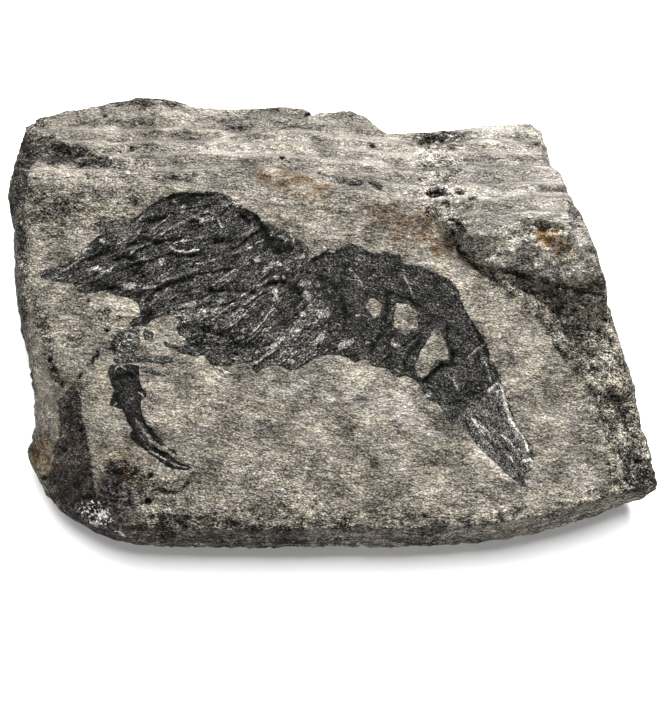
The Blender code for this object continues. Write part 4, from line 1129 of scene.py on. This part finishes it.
CHIPS = [
    (0.36, [(-38.4, -30.6), (-35.8, -30.4), (-33.9, -30.9), (-32.3, -32.5), (-32.3, -34.1),
            (-35.3, -34.8), (-36.9, -33.7), (-39.2, -31.9)]),
    (0.7, [(-35.5, -31.9), (-33.9, -32), (-33.6, -33.2), (-34.9, -33.3), (-35.7, -32.6)]),
    (0.6, [(-36.9, -33.1), (-35.4, -33.4), (-33.7, -34.3), (-33.5, -35.8), (-35, -35.8),
           (-36.9, -34.8)]),
    (0.75, [(-33.4, -35.1), (-31.4, -35), (-31.6, -35.8), (-33.2, -35.8)]),
    (0.55, [(-39.5, -32), (-38.5, -31.9), (-38.7, -32.8), (-39.6, -32.9)]),
    (0.6, [(-26.6, -35.3), (-25.7, -35), (-25.7, -35.7), (-26.3, -35.9)]),
    (0.5, [(-24.8, -31.8), (-23.8, -31.9), (-23.8, -32.6), (-24.7, -32.6)]),
    (0.7, [(-31.7, 20), (-30.9, 20), (-30.9, 19.2), (-31.7, 19.2)]),
    (0.5, [(-7.9, 34.5), (-6, 35.6), (-4.9, 33.6), (-5.4, 32.4), (-7, 33.3)]),
    (0.5, [(-16.6, -11.4), (-15.6, -11.3), (-15.5, -12.2), (-16.6, -12.3)]),
    (0.45, [(-3.2, 7), (-1.2, 7.6), (-1, 7), (-3, 6.2)]),
]
PALE = [
    # Painted light: the riser's face, which the lamp leaves in shade, is lifted.
    (0.8, [(19.8, 9.1), (22, 8.1), (25.8, 9.9), (31.5, 10.6), (36.5, 12), (39.5, 9), (40, 3),
           (36, 2.2), (30.1, 3.2), (25.6, 4.3), (21.9, 4.9), (19.6, 6.9)]),
    (1, [(10.1, 28.5), (15.2, 30.2), (21.7, 32.6), (29.6, 32.8), (33.6, 31), (33.3, 28.6),
         (26.2, 28.8), (18.3, 28.4), (11.9, 26.9)]),
    (1, [(21.8, 16.6), (24, 16.7), (23.5, 14.3), (20.6, 13.6), (21.7, 14.9)]),
    # Painted highlight on the shelf's lip above its crest.
    (1, [(20.3, 10.2), (23.2, 11), (27.7, 12.6), (33.7, 13), (34.5, 10.4), (30.7, 11.1),
         (26.2, 10.8), (23.5, 9.6), (21.4, 8.5)]),
    (0.4, [(-44.2, 19.5), (-43.5, 21.4), (-42, 21.9), (-38.2, 21.3), (-37.3, 20.3), (-40, 19.3),
           (-42.3, 18.9), (-43.7, 18.3)]),
    # Painted highlight on the lip of the ledge over the back left hollow.
    (0.8, [(-45.5, 29.5), (-43.4, 28.3), (-41.2, 26.4), (-38.6, 25.5), (-36.4, 24.7),
           (-34.4, 23.6), (-32.4, 24.3), (-29.1, 25.1), (-29.1, 24.2), (-32.3, 23.1),
           (-34.3, 22.4), (-36.7, 23.7), (-38.9, 24.6), (-41.4, 25.3), (-43.7, 27.4),
           (-45.5, 28.3)]),
    (0.5, [(-19.1, -11.8), (-11.7, -12.1), (-5, -10.9), (-1.8, -8.8), (2.4, -9.4), (6.8, -12.7),
           (12, -16.3), (15.6, -22.1), (12, -21.4), (6.8, -17.8), (0.9, -16.4), (-6.5, -15.8),
           (-13.9, -14.8), (-19.1, -14)]),
    (0.8, [(33.3, -25.7), (35.5, -25.3), (37.7, -26.8), (39.8, -28.9), (40.8, -30.9), (38.4, -31),
           (36.1, -29.5), (34.1, -28)]),
    # Painted highlight on the rock's lip along the tail's inner edge.
    (0.9, [(19.6, -21.6), (21.1, -22.9), (22.5, -24), (24.2, -25.7), (25.6, -27.4), (26.6, -28.6),
           (25.6, -28.8), (23.6, -26.4), (21.4, -24.4)]),
    (0.9, [(28.4, -27.4), (30.4, -26.8), (31.6, -27.2), (30.6, -28.6), (28.8, -28.6)]),
]
JOINT_FACE = [
    (1, [(-38.5, -13.7), (-37.5, -15.7), (-37.3, -18.2), (-36.3, -22.3), (-35.5, -26.2),
         (-35.3, -28.4), (-35, -30.5), (-37.1, -31), (-40.1, -31), (-42.6, -28.9), (-43, -26.4),
         (-42.1, -24.4), (-41.5, -22.1), (-40.6, -20.1), (-40.8, -17.7), (-41.2, -15.7),
         (-40.2, -14.8)]),
]
STAINS_AND_SHADOWS = [
    # A painted shadow under the ledge over the back left hollow.
    (0.8, [(-47.3, 27.5), (-45.6, 28.1), (-43.7, 27.9), (-40.8, 25.3), (-38.3, 24.7),
           (-34.6, 22.7), (-33.4, 21.6), (-35.2, 21), (-38, 21.3), (-41.1, 21.9), (-44.1, 21.6),
           (-46.7, 23.3)]),
    (0.75, [(-49.6, 29), (-46.6, 28.4), (-46, 24), (-46.4, 20.3), (-47.4, 18.7), (-51, 19),
            (-51, 25)]),
    (0.45, [(-43.2, 17.6), (-39.9, 17.9), (-37.3, 18.6), (-36.2, 20), (-35.8, 18.6),
            (-38.3, 16.8), (-41.3, 15.9), (-43.1, 15.2)]),
    (0.42, [(-47, 16.6), (-41.3, 15.9), (-36.8, 16.2), (-37.4, 12.7), (-41.2, 11.9),
            (-44.2, 10.7), (-49.5, 10.8), (-50.5, 13.2)]),
    (0.85, [(-49.7, 13.6), (-47.8, 12.2), (-45.6, 9.2), (-47, 6), (-50.6, 6)]),
    # A painted shadow along the small step and cleft at the back.
    (0.75, [(-2.1, 20.1), (1.9, 19), (4.6, 17.6), (2.8, 17.1), (0.6, 18), (-1.8, 18.8)]),
    # A painted shadow band along the foot of the shelf's riser.
    (0.5, [(20.4, 5.1), (22.2, 3.8), (24.9, 3.2), (27.9, 2.6), (31.7, 1.9), (33.9, 0.6),
           (31.2, 0.8), (27.9, -0.4), (26.3, -0.9), (24.9, 0.8), (22.5, 2.2), (20.7, 3.8)]),
    # A painted shadow just under the shelf's crest.
    (0.9, [(17.2, 11.3), (18.4, 10.5), (19.3, 9.4), (19, 8.9), (18, 9.8), (17, 10.6)]),
    # Painted shade in the holes at the front left.
    (0.95, [(-37.7, -28.9), (-36.4, -28.8), (-35, -29.7), (-34.9, -30.5), (-35.8, -31.1),
            (-37.1, -30.6)]),
    (0.5, [(-46, 0), (-43.2, -2), (-42, -6), (-41.2, -10), (-40.2, -13.4), (-41.9, -13.2),
           (-43.4, -8), (-44.5, -4)]),
    (0.4, [(-29.2, -27.7), (-27.1, -27.3), (-24.4, -28.6), (-22.8, -31), (-23.7, -34.2),
           (-26.9, -35.4), (-29.6, -33.9), (-30.2, -31)]),
    (0.45, [(-36, 25), (-29, 25.5), (-27.5, 20), (-33, 18.5), (-37, 20.5)]),
    (0.26, [(-46.5, 20.9), (-35.1, 21.4), (-27.9, 19.6), (-13.5, 20), (-10.8, 15.2),
            (-14.1, 15.2), (-18.7, 16.9), (-24.7, 16.1), (-29.2, 14), (-32.1, 10), (-41.1, 8.4),
            (-47.1, 11.2)]),
    (0.55, [(25.6, 3), (27.9, 0.3), (30.5, -3.5), (32.4, -7.8), (33.9, -10.4), (36.7, -10.1),
            (35.9, -5.3), (33.4, -0.7), (29.5, 2)]),
    (0.55, [(37.5, -7.9), (40.3, -6.4), (43, -7.1), (45.2, -13.2), (44.2, -14.5), (39.6, -14.5),
            (37.8, -12)]),
    (0.25, [(39.1, -4.2), (42.2, -6.2), (43.7, -12.9), (45.9, -19.5), (48, -27.1), (45.4, -29.2),
            (42.6, -26.2), (41.5, -20), (39.3, -15.6), (37.6, -12.4), (36.4, -8.6)]),
    (0.3, [(-9.4, -28.9), (-2.6, -29.5), (-1.2, -32), (-2, -35.5), (-9, -35.5)]),
    (0.2, [(-13.8, -24.4), (-7.2, -24.3), (-6.4, -30.9), (-7.9, -34.7), (-13, -34.7),
           (-14.1, -29.5)]),
    (0.7, [(-33.5, -25.7), (-30.9, -24.8), (-28.5, -25.9), (-27.6, -28), (-28.5, -30.1),
           (-31.1, -29.8), (-33.8, -29.1)]),
    (0.6, [(35.2, 14.3), (36.4, 13.2), (37.4, 9.2), (35.4, 9), (34.4, 11.9)]),
    # Painted shade in the upper sides of the holes behind the shelf.
    (0.7, [(13.9, 16.9), (15.2, 17.4), (16.4, 16.9), (16.6, 15.8), (15.4, 16.2), (14.1, 16)]),
    (0.6, [(18.2, 16.8), (19.6, 16.9), (19.9, 15.8), (18.6, 15.6)]),
    (0.6, [(19.9, 15.4), (21.6, 15.1), (21.7, 14.2), (20.2, 14.2)]),
    (0.85, [(-35.2, -2.4), (-33.4, -2), (-32.9, -2.6), (-33.8, -2.9), (-35.2, -2.8)]),
    (0.6, [(-35, -3.4), (-33.6, -3.4), (-33.4, -3.9), (-34.8, -4)]),
    (0.8, [(-32.8, -2.9), (-31.8, -3), (-31.8, -3.7), (-32.6, -3.7)]),
    (0.6, [(-33.4, -6.4), (-31.4, -5.2), (-28.8, -5.2), (-28.4, -7.2), (-29.6, -9), (-32.6, -9.2),
           (-33.4, -7.8)]),
    (0.6, [(-37.9, -1.9), (-37.4, -1.9), (-37.4, -3.4), (-37.9, -3.4)]),
    (0.5, [(-39.8, -6.4), (-37.2, -5.8), (-37.4, -7.2), (-39.6, -7.6)]),
    (0.55, [(43.4, -19.4), (47.8, -17), (49.8, -21), (50.4, -27.8), (47.6, -29.6), (43, -30.8),
            (42.6, -26)]),
    (0.45, [(-24.8, -28.4), (-22.2, -27.6), (-21.4, -28.6), (-22.4, -30.1), (-24.6, -30.2)]),
    (0.5, [(-21.6, -34.2), (-15, -34.2), (-8, -35), (-8, -36.4), (-21, -36.4)]),
    (0.4, [(12.8, 30.4), (18, 31), (20, 27.8), (14, 27.2)]),
    (0.6, [(-32.6, -25.6), (-29.2, -26), (-29, -28.6), (-30.4, -28.4), (-31.8, -27.6)]),
]
# A painted shadow: the thin black line where the bed stands over the tail's outer edge.
TAIL_EDGE = [
    (21.9, -5.4), (22.6, -7.1), (23.2, -8.8), (23.5, -10.3), (24.4, -11.8), (24.9, -13),
    (25.6, -15), (26.2, -16.9), (26.8, -18.6), (27.7, -20.4), (28.7, -22.4), (29.5, -24.4),
]


def stain(patches, x, y, fray=0.5, ramp=0.6):
    """How strongly the stone is stained at a place; the stains' edges are frayed."""
    edge = fray * (ripple(x, y, 1.8, 71) + 0.6 * ripple(x, y, 0.8, 72))
    return covered(patches, x, y, edge, ramp)


block = new_piece("shale_block", block_mesh(), shale_material())
x, y, z = sheet_places(block)
form, over, drop, step = block_form(x, y)
relief = rock_surface(x, y)[1]
# The sides, the shelf's riser, the left edge, and every face that breaks across the laminae.
wall = smooth(1.5, 5.0, form - z)
riser = smooth(0.02, 0.2, step) * smooth(1.0, 0.85, step)
left = smooth(-43.5, -48.0, x + 1.5 * ripple(x, y, 4, 73))
broken = np.max([smooth(3.0, -1.0, over), smooth(0.3, 1.6, drop), wall], axis=0)
side_relief = 0.3 * ripple(x + y, 0.8 * z, 1.7, 80) + 0.2 * ripple(x + y, z, 0.8, 81)
paint(block, "level", lamina_level(x, y, z) / LEVEL_SPAN)
# The relief's height is painted as well: lows, clefts and pits darker and highs lighter, a painted
# shade; on the sides it is random.
paint(block, "relief", 0.5 + (relief * (1 - wall) + side_relief * wall) / 0.7)
paint(block, "broken", broken)
# Pale dust lies on the bevel, more of it to the right, and along the riser's crest.
dust = 0.30 * smooth(-32, -12, x) + 0.25 * smooth(6, 16, x)
dust = smooth(3.0, -2.0, over) * (0.35 + dust) * (1 - left) * (1 - 0.4 * wall)
dust = np.maximum(dust, 0.9 * smooth(0.7, 1.0, step))
paint(block, "pale", np.maximum(dust, stain(PALE, x, y)))
paint(block, "shaded", np.max([wall, smooth(0.6, 1.4, drop), riser], axis=0))
# Stains fade down the sides, the chips most of all.
above = smooth(3.0, 9.0, z + 3 * ripple(x + y, z, 4, 82))
upmost = smooth(13.0, 18.0, z + 2 * ripple(x + y, z, 3, 83))
joint_face = stain(JOINT_FACE, x, y, 0.2, 0.3)
paint(block, "rust", above * stain(RUST, x, y, 0.8))
paint(block, "ochre", above * stain(OCHRE, x, y))
paint(block, "crust", above * np.maximum(stain(CRUST, x, y, 0.4), 0.26 * joint_face))
paint(block, "chalk", upmost * stain(CHIPS, x, y, 0.35))
# The flank and the front face are darker, in patches along the laminae, and the clefts and pits
# are darkened with painted shade.
flank = smooth(-0.1, 0.7, drop) * (0.36 + 0.2 * ripple(x, y, 1.7, 74))
hollows = np.maximum(0.95 * cleft_marks(x, y, 0.42), 1.2 * pit_marks(x, y))
front = 0.28
for share, draw, size, seed in ((0.45, 0.45, 1.3, 76), (0.3, 0.8, 0.8, 77), (0.25, 0.1, 2.2, 84)):
    front = front + share * ripple(draw * (x + y), z, size, seed)
front = wall * smooth(25.0, 10.0, y) * front
# So is the bed towards the broken front; under the tail's outer edge a painted shadow line is
# laid.
gap = y - np.interp(x, *np.transpose(FRONT_RIM)[:2]) + 1.5 * ripple(x, y, 3, 78)
near_front = (0.14 + 0.14 * smooth(6, -4, x)) * smooth(9, 3, gap)
near_front = near_front + smooth(3.8, 2.2, gap) * (0.28 + 0.3 * ripple(x, y, 1.2, 79))
tail_edge_shadow = 0.5 * lines_sum([TAIL_EDGE], x, y, 0.30)
paint(block, "dark", np.max([
    above * stain(STAINS_AND_SHADOWS, x, y), above * joint_face, 0.7 * left, flank, hollows, front,
    near_front, tail_edge_shadow,
], axis=0))
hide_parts("matrix")

# ==== Floor, light and camera ====
# A pale table under a soft lamp at the back, so that the light rakes over the bed towards
# the viewer, with one above that throws the shadow, and a weak one for the front face. The
# table's white laminate is even and dull.
TABLE = 1.5                      # half its width, metres
bm = bmesh.new()
bmesh.ops.create_grid(bm, x_segments=1, y_segments=1, size=TABLE)
table_mesh = bpy.data.meshes.new("table")
bm.to_mesh(table_mesh)
bm.free()
table = bpy.data.objects.new("table", table_mesh)
bpy.context.scene.collection.objects.link(table)
laminate, shader = finish_material("white_laminate")
shader.inputs["Base Color"].default_value = linear("#fafafa")
shader.inputs["Roughness"].default_value = 0.8
table_mesh.materials.append(laminate)

scene = bpy.context.scene
scene.view_settings.view_transform = "Standard"
world = bpy.data.worlds.new("studio")
scene.world = world
world.use_nodes = True
background = world.node_tree.nodes["Background"]
background.inputs["Color"].default_value = linear("#ffffff")
background.inputs["Strength"].default_value = 0.16

LAMP_DISTANCE = 1.1              # metres


def lamp(name, height, bearing, size, power):
    """A square soft lamp aimed at the block, its height and bearing in degrees, its size in
    metres and its power in watts. Bearing 0 is behind the block."""
    data = bpy.data.lights.new(name, "AREA")
    data.shape = "SQUARE"
    data.size = size
    data.energy = power
    obj = bpy.data.objects.new(name, data)
    scene.collection.objects.link(obj)
    height, bearing = math.radians(height), math.radians(bearing)
    obj.location = (
        LAMP_DISTANCE * math.cos(height) * math.sin(bearing),
        LAMP_DISTANCE * math.cos(height) * math.cos(bearing),
        LAMP_DISTANCE * math.sin(height),
    )
    obj.rotation_euler = (math.radians(90) - height, 0, math.pi - bearing)


lamp("rake_lamp", height=40, bearing=8, size=0.20, power=38)
lamp("overhead_lamp", height=85.4, bearing=0, size=0.25, power=14)
lamp("front_lamp", height=24, bearing=190, size=0.45, power=5)

lens = bpy.data.cameras.new("camera")
lens.lens = 120
lens.sensor_width = 36
camera = bpy.data.objects.new("camera", lens)
scene.collection.objects.link(camera)
TILT = math.radians(12)          # from straight down towards the front
REACH = 0.36                     # from the camera to the block, metres
AIM = np.array((-0.2 + SHEET_ZERO[0], -6.1 + SHEET_ZERO[1], 12.0)) * MM
camera.location = AIM + REACH * np.array((0, -math.sin(TILT), math.cos(TILT)))
camera.rotation_euler = (TILT, 0, 0)
scene.camera = camera
